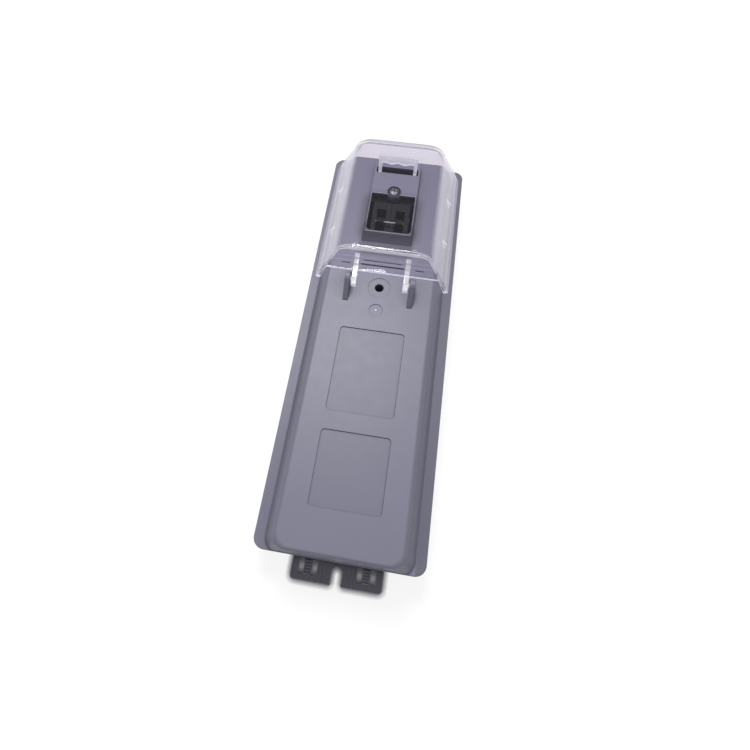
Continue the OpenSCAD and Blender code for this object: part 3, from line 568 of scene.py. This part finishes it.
def dome_rings(inset, height, z0=0.0):
    """The dome's rings, from a height above its foot up to the edge of the flat face."""
    edge_r, edge_r_low = DOME_EDGE_R - inset, max(0.4, DOME_EDGE_R_LOW - inset)
    levels = [z0 + (height - edge_r - z0) * i / 8 for i in range(8)]
    levels += [height - edge_r * (1 - math.cos(math.radians(a))) for a in range(90, -1, -6)]
    rings = []
    for z in levels:
        run = wall_inset(z, height, DOME_DRAFT, edge_r)
        low = DOME_FOOT_LOW + inset + wall_inset(z, height, DOME_DRAFT_LOW, edge_r_low)
        rings.append(dome_plan(DOME_FOOT + inset + run, low, DOME_R - inset - run,
                               DOME_R_LOW - inset + z / 12, FLANGE_Z + z))
    return rings


def mouth(make_ring, floor_z, mouth_z, flare):
    """A cutter whose edge flares to a small radius at the surface it cuts.
    make_ring(grow, z) gives its outline, grown by a margin."""
    rings = [make_ring(0, floor_z), make_ring(0, mouth_z - flare)]
    for a in (30, 60, 90):
        c, s = math.cos(math.radians(a)), math.sin(math.radians(a))
        rings.append(make_ring(flare * (1 - c), mouth_z - flare * (1 - s)))
    rings.append(make_ring(flare, mouth_z + 3))
    return solid("cutter", rings)


def rect_mouth(x0, x1, y0, y1, radii, floor_z, mouth_z, flare=0.35):
    radii = radii if isinstance(radii, tuple) else (radii,) * 4

    def ring(grow, z):
        grown = tuple(r + grow for r in radii)
        return rounded(x0 - grow, x1 + grow, y0 - grow, y1 + grow, grown, z)

    return mouth(ring, floor_z, mouth_z, flare)


def round_mouth(x, y, r, floor_z, mouth_z, flare):
    return mouth(lambda grow, z: disc(x, y, r + grow, z), floor_z, mouth_z, flare)


def lug(side):
    """Hinge lug: steep front, round crown over the pivot, long back."""
    crown_r = 6.5
    front_y, back_y = PIVOT_Y - 17, PIVOT_Y + 12.8
    crown = [math.radians(a) for a in range(150, 45, -10)]
    outline = [(front_y, FACE_Z - 1), (front_y, FACE_Z + 0.6)]
    outline += [(PIVOT_Y + crown_r * math.cos(a), PIVOT_Z + crown_r * math.sin(a)) for a in crown]
    outline += [(back_y, FACE_Z + 0.5), (back_y, FACE_Z - 1)]
    x0, x1 = sorted((side * 26.2, side * 30.8))
    return slab("lug", outline, "x", x0, x1, 0.7)


def platform(inset, name):
    """Raised platform over the breaker, sloped at its lower end. inset gives its hollow."""
    top, half = PLATFORM_Z - inset, 23.5 - inset
    return solid(name, [
        rounded(-half - 1, half + 1, 271 + inset, 371.9 - inset, 1.6, FACE_Z - 5 - inset),
        rounded(-half, half, 278.6 + inset, 371 - inset, 1.6, FACE_Z + 0.4 - inset),
        rounded(0.6 - half, half - 0.6, 285.4 + inset, 370.6 - inset, 1.4, top - 0.7),
        rounded(0.8 - half, half - 0.8, 286.3 + inset, 370.4 - inset, 1.2, top - 0.25),
        rounded(1.5 - half, half - 1.5, 287.4 + inset, 369.8 - inset, 0.9, top),
    ])


def cover_body():
    """The flange and dome, hollow, with a seat for the gasket."""
    edge, fillet, skirt_t = 0.5, 0.9, 2
    outer = [plan(0.4, FLANGE_R - 0.4, SKIRT_Z), plan(0, FLANGE_R, SKIRT_Z + 0.4),
             plan(0, FLANGE_R, FLANGE_Z - edge)]
    for a in (30, 60, 90):
        c, s = math.cos(math.radians(a)), math.sin(math.radians(a))
        outer.append(plan(edge * (1 - c), FLANGE_R - edge * (1 - c), FLANGE_Z - edge * (1 - s)))
    # Small fillet where the flange meets the dome's foot
    for a in (0, 30, 60, 90):
        c, s = math.cos(math.radians(a)), math.sin(math.radians(a))
        side = DOME_FOOT - fillet * (1 - s) + DOME_DRAFT * fillet * s
        outer.append(dome_plan(side, DOME_FOOT_LOW - 0.05 * (1 - s), DOME_R + DOME_FOOT - side,
                               DOME_R_LOW, FLANGE_Z + fillet * (1 - c)))
    outer += dome_rings(0, FACE_Z - FLANGE_Z, 2)
    # The inside: seat for the gasket, ledge over the gasket at the lower end, then the dome
    mouth_in, mouth_r, ledge_z = DOME_FOOT + COVER_T, DOME_R - COVER_T, FLANGE_Z - 0.5
    inner = [plan(skirt_t, FLANGE_R - skirt_t, z) for z in (SKIRT_Z, RIM_Z)]
    inner += [dome_plan(mouth_in, mouth_in, mouth_r, 2, z) for z in (RIM_Z, ledge_z)]
    inner.append(dome_plan(mouth_in, DOME_FOOT_LOW + COVER_T, mouth_r, DOME_R_LOW - COVER_T, ledge_z))
    inner += dome_rings(COVER_T, FACE_Z - FLANGE_Z - COVER_T)
    return shell("cover_shell", outer, inner)


def cover_additions():
    """Hinge lugs, the lower screw's well, the cup under the upper screw and the rain bead."""
    well = lathe("well", [(5.8, 0), (5.8, FACE_Z - 33)], 0, LOWER_SCREW_Y, 32)
    cup = lathe("cup", [(6.6, 0), (7.1, 0.5), (7.1, 6.2), (6.95, 6.5), (6.7, 6.62)],
                0, UPPER_SCREW_Y, PLATFORM_Z - 4 - COVER_T)
    bead = slab("bead", rect(257, 258.4, FACE_Z - 1, FACE_Z + 0.8), "x", -18, 18, 0.35)
    return [lug(-1), lug(1), well, cup, bead]


def cover_cutters():
    """Label recesses, the gate's recess, screw wells, latch slot, drain slits and bores."""
    slot_y0, slot_y1 = LATCH_Y - 3.6, LATCH_Y + 3.6
    cutters = [rect_mouth(-half, half, y0, y1, 3, FACE_Z - LABEL_DEPTH, FACE_Z)
               for half, y0, y1 in LABELS]
    cutters += [
        round_mouth(0, GATE_Y, 6, FACE_Z - 0.7, FACE_Z, 0.3),
        round_mouth(0, LOWER_SCREW_Y, 10, FACE_Z - 0.5, FACE_Z, 0.25),
        round_mouth(0, LOWER_SCREW_Y, 3.9, 34, FACE_Z - 0.5, 0.4),
        lathe("bore", [(2.2, 0), (2.2, 30)], 0, LOWER_SCREW_Y, 20),
        lathe("bore", [(3.3, 0), (3.3, 30)], 0, UPPER_SCREW_Y, 50),
        round_mouth(0, UPPER_SCREW_Y, 6.3, PLATFORM_Z - 4, PLATFORM_Z + 0.05, 0.3),
        rect_mouth(-20.5, 20.5, slot_y0, slot_y1, 0.6, PLATFORM_Z - 8, PLATFORM_Z, 0.3),
        rect_mouth(-20, 20, SLIT_Y, SLIT_Y + 1.2, 0.5, FACE_Z - 8, FACE_Z, 0.15),
    ]
    for x in (-34, 34):
        cutters.append(rect_mouth(x - 4, x + 4, SLIT_Y, SLIT_Y + 0.8, 0.35, FACE_Z - 8, FACE_Z, 0.12))
    for s in (-1, 1):
        cutters.append(rod("bore", 2.28, (s * 25.5, PIVOT_Y, PIVOT_Z), (s * 31.5, PIVOT_Y, PIVOT_Z)))
    return cutters


def cover_painted_light(face):
    """Painted light and shade on faces of the cover: shade on the labels' floors, light and shade on their edges,
    a painted highlight on the gate's tip and on the window's rim.
    """
    x, y, z = local(face.center)
    up = face.normal.z
    sloped = 0.1 < up < 0.99
    in_labels = LABELS[1][1] - 1 < y < LABELS[0][2] + 1
    # Painted shade: the labels' floors a little darker
    if abs(z - FACE_Z + LABEL_DEPTH) < 0.05 and abs(x) < 28.1 and in_labels:
        return -0.06
    # Painted light on the labels' edges that face the light, painted shade on the others
    if -0.5 < z - FACE_Z < -0.02 and sloped and in_labels:
        return 0.5 if face.normal.y > 0.3 or face.normal.x > 0.3 else -0.4
    # Painted highlight on the gate's tip
    if math.hypot(x, y - GATE_Y) < 0.75 and -0.3 < z - FACE_Z < 0.5 and up > 0.3:
        return 5.0
    # Painted highlight along the window's rounded rim
    half, y0, y1 = WINDOW
    on_rim = 0.02 < PLATFORM_Z - z < 0.65 and abs(x) < half + 0.8 and y0 - 1 < y < y1 + 1
    return 1.7 if on_rim and sloped else 0.0


def cover_polish(face):
    """The tip that the mould's gate leaves is smooth."""
    x, y, z = local(face.center)
    return float(math.hypot(x, y - GATE_Y) < 1.2 and -0.65 < z - FACE_Z < 0.5)


def build_cover():
    cover = cover_body()
    combine(cover, [platform(0, "platform")], [platform(COVER_T, "hollow")])
    half, y0, y1 = WINDOW
    window = rect_mouth(-half, half, y0, y1, (0.5, 0.5, 4.5, 4.5), PLATFORM_Z - 12, PLATFORM_Z, 0.6)
    combine(cover, [], [window])
    combine(cover, cover_additions(), cover_cutters())
    gate_tip = [(0.95, 0), (0.95, 0.35), (0.8, 0.62), (0.5, 0.8), (0.15, 0.86)]
    combine(cover, [lathe("nub", gate_tip, 0, GATE_Y, FACE_Z - 0.75)])
    fit_out(cover, "cover", "cover_plastic", "front_cover", angle=28)
    mark(cover, "painted_light", cover_painted_light)
    mark(cover, "polish", cover_polish)


# ------------------------------------------------------------------ hood


def crease_point(inset):
    """Where the hood's side and upper end meet its arcs, for a face moved inwards."""
    side = inset * math.sqrt(1 + HOOD_SLOPE ** 2)
    foot_x = HOOD_SIDE_X - side
    foot_y = LENGTH - (HALF_W - HOOD_SIDE_X) - side
    return foot_x - HOOD_SLOPE * HOOD_CREASE, foot_y - HOOD_END_SLOPE * HOOD_CREASE


def arch(inset, steps):
    """Angle, half width and height of points from the crease up to the flat top."""
    top = HOOD_Z - FLANGE_Z - inset
    crease_x = crease_point(inset)[0]
    for i in range(steps + 1):
        a = math.radians(90 * i / steps)
        yield (a, HOOD_FLAT_X + (crease_x - HOOD_FLAT_X) * math.cos(a),
               HOOD_CREASE + (top - HOOD_CREASE) * math.sin(a))


def hood_rings(inset):
    """Level rings of the hood from its rim up: sloped sides to the crease, then arcs in
    to the flat top. inset moves every face inwards by the wall's thickness."""
    top = HOOD_Z - FLANGE_Z - inset
    crease_x, crease_y = crease_point(inset)
    edge = HOOD_EDGE_R - inset
    north_r, south_r = 10 - inset, 2.4 - inset * 0.6
    radii = (north_r, north_r, south_r, south_r)
    rings = []
    for z in (HOOD_GAP, 12, 24, 36, HOOD_CREASE - 0.8):
        x = crease_x + HOOD_SLOPE * (HOOD_CREASE - z)
        y1 = crease_y + HOOD_END_SLOPE * (HOOD_CREASE - z)
        rings.append(rounded(-x, x, HOOD_Y0 + inset, y1, radii, FLANGE_Z + z))
    for a, x, z in arch(inset, 14):
        y1 = crease_y - HOOD_END_ARC * (1 - math.cos(a))
        below = max(0.0, min(1.0, (top - z) / edge))
        y0 = HOOD_Y0 + inset + edge * (1 - math.sqrt(max(0.0, 1 - (1 - below) ** 2)))
        rings.append(rounded(-x, x, y0, y1, radii, FLANGE_Z + z))
    return rings


def dome_room():
    """The space that the cover's dome takes where the hood's end wall crosses it."""
    height = FACE_Z - FLANGE_Z + HOOD_GAP
    foot_x = HALF_W - DOME_FOOT + HOOD_GAP
    levels = [0] + [height - DOME_EDGE_R * (1 - math.cos(math.radians(a))) for a in range(90, -1, -6)]
    half = [(foot_x - wall_inset(z, height, DOME_DRAFT, DOME_EDGE_R), FLANGE_Z + z) for z in levels]
    section = half + [(-x, z) for x, z in reversed(half)]
    section += [(-foot_x, FLANGE_Z - 5), (foot_x, FLANGE_Z - 5)]
    return slab("room", section, "y", HOOD_Y0 - 8, HOOD_Y0 + 8)


def arm(side):
    """Stepped arm from the end wall down to the pivot."""
    top = FLANGE_Z + 49.5
    tip_r = 7
    tip = [math.radians(a) for a in range(200, 321, 15)]
    outline = [(HOOD_Y0 + 1, FACE_Z + 4), (HOOD_Y0 + 1, top), (HOOD_Y0 - 4, top),
               (HOOD_Y0 - 4, top - 3), (HOOD_Y0 - 9, top - 3), (HOOD_Y0 - 9, top - 5.5),
               (PIVOT_Y + 4, PIVOT_Z + 6), (PIVOT_Y - 2, PIVOT_Z + 5.6),
               (PIVOT_Y - tip_r, PIVOT_Z + 2)]
    outline += [(PIVOT_Y + tip_r * math.cos(a), PIVOT_Z + tip_r * math.sin(a)) for a in tip]
    x0, x1 = sorted((side * 20.4, side * 25))
    return slab("arm", outline, "x", x0, x1, 0.45)


def latch_leg(side):
    """One leg of the frame that snaps into the cover's slot."""
    x0, x1 = sorted((side * 15.6, side * 19))
    return block("leg", x0, x1, LATCH_Y - 1.6, LATCH_Y + 1.6, PLATFORM_Z - 3.5, LATCH_TOP, 0.8)


def latch_web():
    """The web between the latch's legs, with a wavy lower edge."""
    waves = [(x, PLATFORM_Z + 9.4 + 0.9 * math.cos(x * math.pi / 6.4)) for x in range(-17, 18)]
    outline = waves + [(17, LATCH_TOP), (-17, LATCH_TOP)]
    return slab("web", outline, "y", LATCH_Y - 1.2, LATCH_Y + 1.2, 0.3)


def wall_x(z):
    """Half width of the hood's outer side wall at a level."""
    return HOOD_SIDE_X - HOOD_SLOPE * (z - FLANGE_Z)


def chevron(side, y):
    """A narrow V of two raised ribs on a side wall's inner face."""
    def on_wall(dy, height):
        z = FLANGE_Z + height
        return side * (wall_x(z) - HOOD_T * 1.1), y + dy, z

    return [rod("bar", 0.85, on_wall(3, 9), on_wall(-1, 21), 12),
            rod("bar", 0.75, on_wall(-1, 20.5), on_wall(-5, 14), 12)]


def arch_rib(y0, y1):
    """A low rib that follows the arch of the hood on its inside."""
    def section(inset):
        foot_z = 12
        foot_x = crease_point(inset)[0] + HOOD_SLOPE * (HOOD_CREASE - foot_z)
        half = [(foot_x, FLANGE_Z + foot_z)] + [(x, FLANGE_Z + z) for _, x, z in arch(inset, 12)]
        return half + [(-x, z) for x, z in reversed(half)]

    return slab("rib", section(HOOD_T - 0.1) + section(HOOD_T + 0.6)[::-1], "y", y0, y1)


def painted_edge_glow(face):
    """How much painted glow a face of the hood gets: narrow edges, ribs, arms and the latch get some."""
    x, y, z = local(face.center)
    x = abs(x)
    side_on, end_on = abs(face.normal.x), abs(face.normal.y)
    if y < HOOD_Y0 - 0.2:
        if 19 < x < 32:
            at_tip = y < PIVOT_Y - 3 and z > PIVOT_Z - 4
            return 0.6 if at_tip else 0.24 if side_on < 0.8 else 0.1
        return 0.95 if face.normal.y < -0.3 else 0.0
    if y < HOOD_Y0 + HOOD_T + 0.1 and z < FACE_Z + 1 and face.normal.z < -0.05:
        return 0.5 if x > 50 else 0.0
    if z < FLANGE_Z + HOOD_GAP + 0.1:
        return 0.3
    if abs(y - LATCH_Y) < 3 and x < 19.5 and z < HOOD_Z - HOOD_T - 0.05:
        return 0.7 if side_on < 0.8 and end_on < 0.8 else 0.5
    if any(y0 + 0.05 < y < y1 + 0.01 for y0, y1 in ARCH_RIBS):
        return 0.5
    on_chevron = wall_x(z) - 4.5 < x < wall_x(z) - HOOD_T * 1.1 - 0.05
    if on_chevron and 8 < z - FLANGE_Z < 23 and CHEVRONS_Y[0] - 11 < y < CHEVRONS_Y[1] + 7:
        return 0.9
    on_wall = side_on > 0.7 and HOOD_Y0 + 3 < y < 372
    return 0.1 if on_wall and 1 < z - FLANGE_Z < HOOD_CREASE - 1 else 0.0


def painted_shade(face):
    """Painted shade over the steep rounded edge at the hood's upper end."""
    _, y, z = local(face.center)
    return float(y > LATCH_Y + 3.2 and z > FLANGE_Z + 46.5 and abs(face.normal.y) > 0.3)


def build_hood():
    hood = shell("hood_shell", hood_rings(0), hood_rings(HOOD_T))
    lip_z = FACE_Z + HOOD_GAP
    lip = slab("lip", rect(LIP_Y0, HOOD_Y0 + 1, lip_z, lip_z + HOOD_T), "x", -51, 51, 0.5)
    parts = [arm(-1), arm(1), lip]
    for s in (-1, 1):
        inner_end, outer_end = (s * 24.9, PIVOT_Y, PIVOT_Z), (s * 30.4, PIVOT_Y, PIVOT_Z)
        parts.append(rod("stub", 2.2, inner_end, outer_end, 32, 0.3))
        parts.append(latch_leg(s))
    parts.append(latch_web())
    for s in (-1, 1):
        for y in CHEVRONS_Y:
            parts += chevron(s, y)
    parts += [arch_rib(y0, y1) for y0, y1 in ARCH_RIBS]
    combine(hood, parts, [dome_room()])
    fit_out(hood, "hood", "clear_polycarbonate", "clear_hood", angle=26)
    mark(hood, "edge", painted_edge_glow)
    mark(hood, "painted_shade", painted_shade)


# ------------------------------------------------------------------ base tray


def tray_body():
    """The tray's outside up to the rim, the gasket's groove, and the inside down to the
    floor."""
    inner, inner_r = TRAY_INSET + TRAY_T, TRAY_R - TRAY_T
    return solid("tray", [
        plan(TRAY_INSET + 1.2, TRAY_R - 1.2, 0), plan(TRAY_INSET + 0.35, TRAY_R - 0.35, 0.35),
        plan(TRAY_INSET, TRAY_R, 1.2), plan(TRAY_INSET, TRAY_R, SKIRT_Z),
        plan(2.5, TRAY_R, SKIRT_Z), plan(2.5, TRAY_R, RIM_Z - 0.3), plan(2.8, TRAY_R - 0.3, RIM_Z),
        plan(4.1, TRAY_R - 1, RIM_Z), plan(4.1, TRAY_R - 1, RIM_Z - 1.6),
        plan(7.1, TRAY_R - 4, RIM_Z - 1.6), plan(7.1, TRAY_R - 4, RIM_Z),
        plan(inner - 0.3, inner_r + 0.3, RIM_Z), plan(inner, inner_r, RIM_Z - 0.3),
        plan(inner, inner_r, TRAY_FLOOR + 1.2), plan(inner + 0.4, inner_r, TRAY_FLOOR + 0.35),
        plan(inner + 1.2, inner_r - 0.6, TRAY_FLOOR),
    ])


def fixing_tab():
    """The tab below the tray, its edges rounded above and below."""
    def ring(inset, r, z):
        return rounded(inset - TAB_HALF, TAB_HALF - inset, inset - TAB_OUT, TRAY_INSET + 1,
                       (0.1, 0.1, r, r), z)

    return solid("tab", [ring(0.6, 2.4, 0), ring(0, 3, 0.6), ring(0, 3, TAB_T - 0.6),
                         ring(0.18, 2.8, TAB_T - 0.18), ring(0.6, 2.4, TAB_T)])


def tray_additions():
    """The tab with its ribs and cable saddles, and the tray's pillars, pads and bosses."""
    stands = 2
    rib_z = TAB_T - 1, TAB_T + 1.2
    parts = [fixing_tab()]
    for s in (-1, 1):
        for x, y0 in ((s * 13, 1 - TAB_OUT), (s * 37.1, 4 - TAB_OUT)):
            parts.append(block("rib", x - 0.6, x + 0.6, y0, TRAY_INSET + 0.5, *rib_z, 0.3))
        x = s * CABLE_X
        parts.append(block("saddle", x - 3, x + 3, TIE_Y - TIE_HALF, TIE_Y + TIE_HALF, *rib_z, 0.3))
        for i in range(-2, 3):
            y = TIE_Y + 2.4 * i
            parts.append(block("ridge", x - 3, x + 3, y - 0.6, y + 0.6, TAB_T + 0.5, TAB_T + 2.2, 0.35))
        pillar = [(4.9, 0), (4.3, 4), (4.3, 50.6), (3.9, 51)]
        parts.append(lathe("pillar", pillar, s * PILLAR[0], PILLAR[1], stands))
        for x, y, height in PADS:
            pad = [(4.9, 0), (4.5, 1), (4.5, height - 0.3), (4.2, height)]
            parts.append(lathe("pad", pad, s * x, y, stands))
        boss = [(7.4, 0), (7, 1.5), (7, 3.6), (6.6, 4)]
        parts.append(lathe("boss", boss, s * BOSS[0], BOSS[1], stands))
    post = [(6.8, 0), (6, 4), (6, 28), (5.6, 28.4)]
    return parts + [lathe("post", post, 0, LOWER_SCREW_Y, stands)]


def tray_cutters():
    """The tab's open slot and tie slots, the screw bores, fixing holes and cable holes."""
    cutters = [
        lathe("bore", [(3.02, 0), (3.02, 40)], 0, LOWER_SCREW_Y, 12),
        rect_mouth(-4.5, 4.5, -TAB_OUT - 9, 14.5 - TAB_OUT, (4.5, 4.5, 0.1, 0.1), -3, TAB_T),
    ]
    for s in (-1, 1):
        for x in (s * CABLE_X - 5.55, s * CABLE_X + 5.55):
            cutters.append(rect_mouth(x - 2.2, x + 2.2, TIE_Y - TIE_HALF, TIE_Y + TIE_HALF, 0.5,
                                      -3, TAB_T, 0.25))
        cutters.append(lathe("bore", [(1.9, 0), (1.9, 20)], s * PILLAR[0], PILLAR[1], 39))
        for x, y, _ in PADS:
            cutters.append(lathe("bore", [(1.9, 0), (1.9, 10)], s * x, y, 1))
        cutters.append(round_mouth(s * BOSS[0], BOSS[1], 2.75, -3, 6, 0.4))
        cutters.append(rod("bore", 9.03, (s * CABLE_X, 2, 14), (s * CABLE_X, 14, 14), 48))
    return cutters


def tab_painted_highlight(face):
    """Painted highlights: the edges of the tab and of its ribs are lightened."""
    _, y, z = local(face.center)
    return 2.2 if y < 6 and z < TAB_T + 3 and 0.15 < face.normal.z < 0.97 else 0.0


def build_tray():
    tray = tray_body()
    combine(tray, tray_additions())
    combine(tray, [], tray_cutters())
    fit_out(tray, "base", "tray_plastic", "base_tray", angle=30)
    mark(tray, "painted_light", tab_painted_highlight)


# ------------------------------------------------------------------ screws and wires


def pan_screw(name, node, body, head_r, head_h, shank_r, length, drive):
    """A pan-head screw with a tapered cross recess, in the place of its CAD node."""
    lo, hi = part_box(node)
    x, y = (lo.x + hi.x) / 2 / MM, ((lo.y + hi.y) / 2 - FOOT) / MM
    z = hi.z / MM - head_h
    crown = []
    for i in range(9):
        a = math.radians(80 * i / 8 + 10)
        crown.append((head_r * math.cos(a) ** 0.6, head_h * (0.32 + 0.68 * math.sin(a) ** 1.2)))
    tip = [(shank_r * 0.6, -length), (shank_r, 1 - length), (shank_r, -0.05), (shank_r, 0)]
    screw = lathe(name, tip + [(head_r * 0.96, 0), (head_r, 0.15 * head_h)] + crown, x, y, z)
    deep = head_h * 0.75
    widths = ((0, drive * 0.16, 0.28), (deep, drive * 0.5, 0.5), (deep + 1.5, drive * 0.6, 0.58))
    cross = []
    for turn in (0, 90):
        a = math.radians(turn)
        c, s = math.cos(a), math.sin(a)
        rings = []
        for h, reach, half in widths:
            corners = ((reach, half), (-reach, half), (-reach, -half), (reach, -half))
            level = z + head_h - deep + h
            rings.append([(x + u * c - v * s, y + u * s + v * c, level) for u, v in corners])
        cross.append(solid("cross", rings))
    combine(screw, [], cross)
    fit_out(screw, body, "bright_steel", node, angle=34)


def build_wire(name, node, slot, side):
    """A wire along the side of the breaker, from the meter socket to an upper terminal: a
    smooth curve through its waypoints, with bare brass-coloured ends."""
    waypoints = [(20, 157, 17), (20.6, 167, 24.5), (24, 210, 25), (30, 264, 18.5), (30, 318, 18),
                 (30, 348, 25.5), (24.5, 358.5, 29.6), (14, 358.5, 30), (8.95, 353, 30), (8.95, 343, 30)]
    smooth = []
    for i in range(len(waypoints) - 1):
        p = [Vector(waypoints[min(max(i + k, 0), len(waypoints) - 1)]) for k in (-1, 0, 1, 2)]
        for j in range(10):
            t = j / 10
            smooth.append(0.5 * (2 * p[1] + (p[2] - p[0]) * t
                                 + (2 * p[0] - 5 * p[1] + 4 * p[2] - p[3]) * t ** 2
                                 + (3 * p[1] - p[0] - 3 * p[2] + p[3]) * t ** 3))
    smooth.append(Vector(waypoints[-1]))
    radius, strip = 2.1, 5

    def tube(points, r):
        bm = bmesh.new()
        loops = []
        for i, p in enumerate(points):
            ahead = points[min(i + 1, len(points) - 1)] - points[max(i - 1, 0)]
            turn = ahead.to_track_quat("Z", "Y").to_matrix()
            ring = [p + turn @ Vector(q) for q in disc(0, 0, r, 0, 20)]
            loops.append([bm.verts.new(place(side * q.x, q.y, q.z)) for q in ring])
        bridge(bm, loops)
        return new_object(name, bm)

    fit_out(tube(smooth[strip:-strip], radius), "base", slot, node)
    for end, points in (("foot", smooth[:strip + 1]), ("head", smooth[-strip - 1:])):
        core = tube(points, 1.3)
        core.name = f"{name}_{end}_core"
        fit_out(core, "base", "brass_parts")


# ------------------------------------------------------------------ build and light


def dress_cad_nodes():
    """Procedural materials on every CAD node that stays."""
    for row in frame["record"]["subparts"]:
        node = frame["nodes"][row["node"]]
        node.data.materials.clear()
        node.data.materials.append(materials[row["material_slot"]])


def build_stage():
    """A pale floor that reaches past the picture."""
    bm = bmesh.new()
    half, z = 4.0, -0.0003
    corners = ((-half, -half), (half, -half), (half, half), (-half, half))
    bm.faces.new([bm.verts.new((x, y, z)) for x, y in corners])
    floor = new_object("floor", bm)
    n = Nodes("floor_paint")
    shader = n.surface(Roughness=0.85, Specular_IOR_Level=0.2)
    path = n.add("ShaderNodeLightPath")
    pale = n.colours(n.noise(400, 2), (0.91, 0.91, 0.915), (0.93, 0.93, 0.935))
    # A lit table: bright to look at, with less bounce, and painted shade only in narrow gaps
    eye, bounced = path.outputs["Is Camera Ray"], path.outputs["Is Diffuse Ray"]
    n.link(n.blend(eye, n.blend(bounced, pale, (0.35, 0.35, 0.36)), (0.22, 0.22, 0.22)),
           shader.inputs["Base Color"])
    contact_shade = n.add("ShaderNodeAmbientOcclusion", samples=8)
    contact_shade.inputs["Distance"].default_value = 0.005
    open_sky = n.math("POWER", contact_shade.outputs["AO"], 3.0)
    glow = n.math("MULTIPLY", n.math("MULTIPLY", eye, open_sky), 0.84)
    glow = n.math("ADD", glow, n.math("MULTIPLY", path.outputs["Is Glossy Ray"], 0.12))
    shader.inputs["Emission Color"].default_value = (1, 1, 1, 1)
    n.link(glow, shader.inputs["Emission Strength"])
    n.link(shader.outputs["BSDF"], n.output.inputs["Surface"])
    floor.data.materials.append(n.material)


def add_light(name, place_m, target_m, size_m, power):
    """A rectangular lamp that faces a point."""
    data = bpy.data.lights.new(name, "AREA")
    data.shape = "RECTANGLE"
    data.size, data.size_y = size_m
    data.energy = power
    light = bpy.data.objects.new(name, data)
    bpy.context.scene.collection.objects.link(light)
    light.location = place_m
    light.rotation_euler = (Vector(target_m) - Vector(place_m)).to_track_quat("-Z", "Y").to_euler()


def build_light():
    """A dim studio room, brighter overhead, and one soft box high beyond the upper end."""
    world = bpy.data.worlds.new("studio")
    world.use_nodes = True
    tree = world.node_tree
    source = tree.nodes.new("ShaderNodeTexCoord")
    split = tree.nodes.new("ShaderNodeSeparateXYZ")
    tree.links.new(source.outputs["Generated"], split.inputs["Vector"])
    ramp = tree.nodes.new("ShaderNodeMapRange")
    ramp.interpolation_type = "SMOOTHSTEP"
    for key, value in (("From Min", 0.8), ("From Max", 0.97), ("To Min", 0.3), ("To Max", 0.92)):
        ramp.inputs[key].default_value = value
    tree.links.new(split.outputs["Z"], ramp.inputs["Value"])
    background = tree.nodes["Background"]
    background.inputs["Color"].default_value = (0.97, 0.97, 1.0, 1)
    tree.links.new(ramp.outputs["Result"], background.inputs["Strength"])
    bpy.context.scene.world = world
    add_light("soft_box", (-0.2, 0.68, 1.6), (0, 0, 0), (0.45, 0.45), 15)


def build_camera():
    """The viewing angle of a hand-held shot from above the foot of the enclosure."""
    azimuth, elevation, roll = (math.radians(a) for a in (-12.58, 65.32, -3.32))
    ahead = Vector((math.sin(azimuth) * math.cos(elevation), math.cos(azimuth) * math.cos(elevation),
                    -math.sin(elevation)))
    level = ahead.cross(Vector((0, 0, 1))).normalized()
    above = level.cross(ahead)
    right = level * math.cos(roll) + above * math.sin(roll)
    up = above * math.cos(roll) - level * math.sin(roll)
    data = bpy.data.cameras.new("camera")
    data.sensor_width = 36
    data.lens = 25.195
    data.shift_x, data.shift_y = 0.0469, -0.0452
    data.clip_start, data.clip_end = 0.01, 20
    camera = bpy.data.objects.new("camera", data)
    bpy.context.scene.collection.objects.link(camera)
    camera.matrix_world = Matrix.Translation((0.01472, -0.21107, 0.47380)) @ Matrix(
        (right, up, -ahead)).transposed().to_4x4()
    bpy.context.scene.camera = camera


dress_cad_nodes()
build_cover()
build_hood()
build_tray()
pan_screw("upper_cover_screw", "upper_screw", "top_screw", 5.9, 4.2, 3, 13.5, 7)
pan_screw("lower_cover_screw", "lower_screw", "bottom_screw", 3.5, 2.8, 2, 11, 4)
build_wire("line_wire", "line_link", "brown_insulation", -1)
build_wire("neutral_wire", "neutral_link", "blue_insulation", 1)
build_stage()
build_light()
build_camera()
bpy.context.scene.view_settings.view_transform = "Standard"
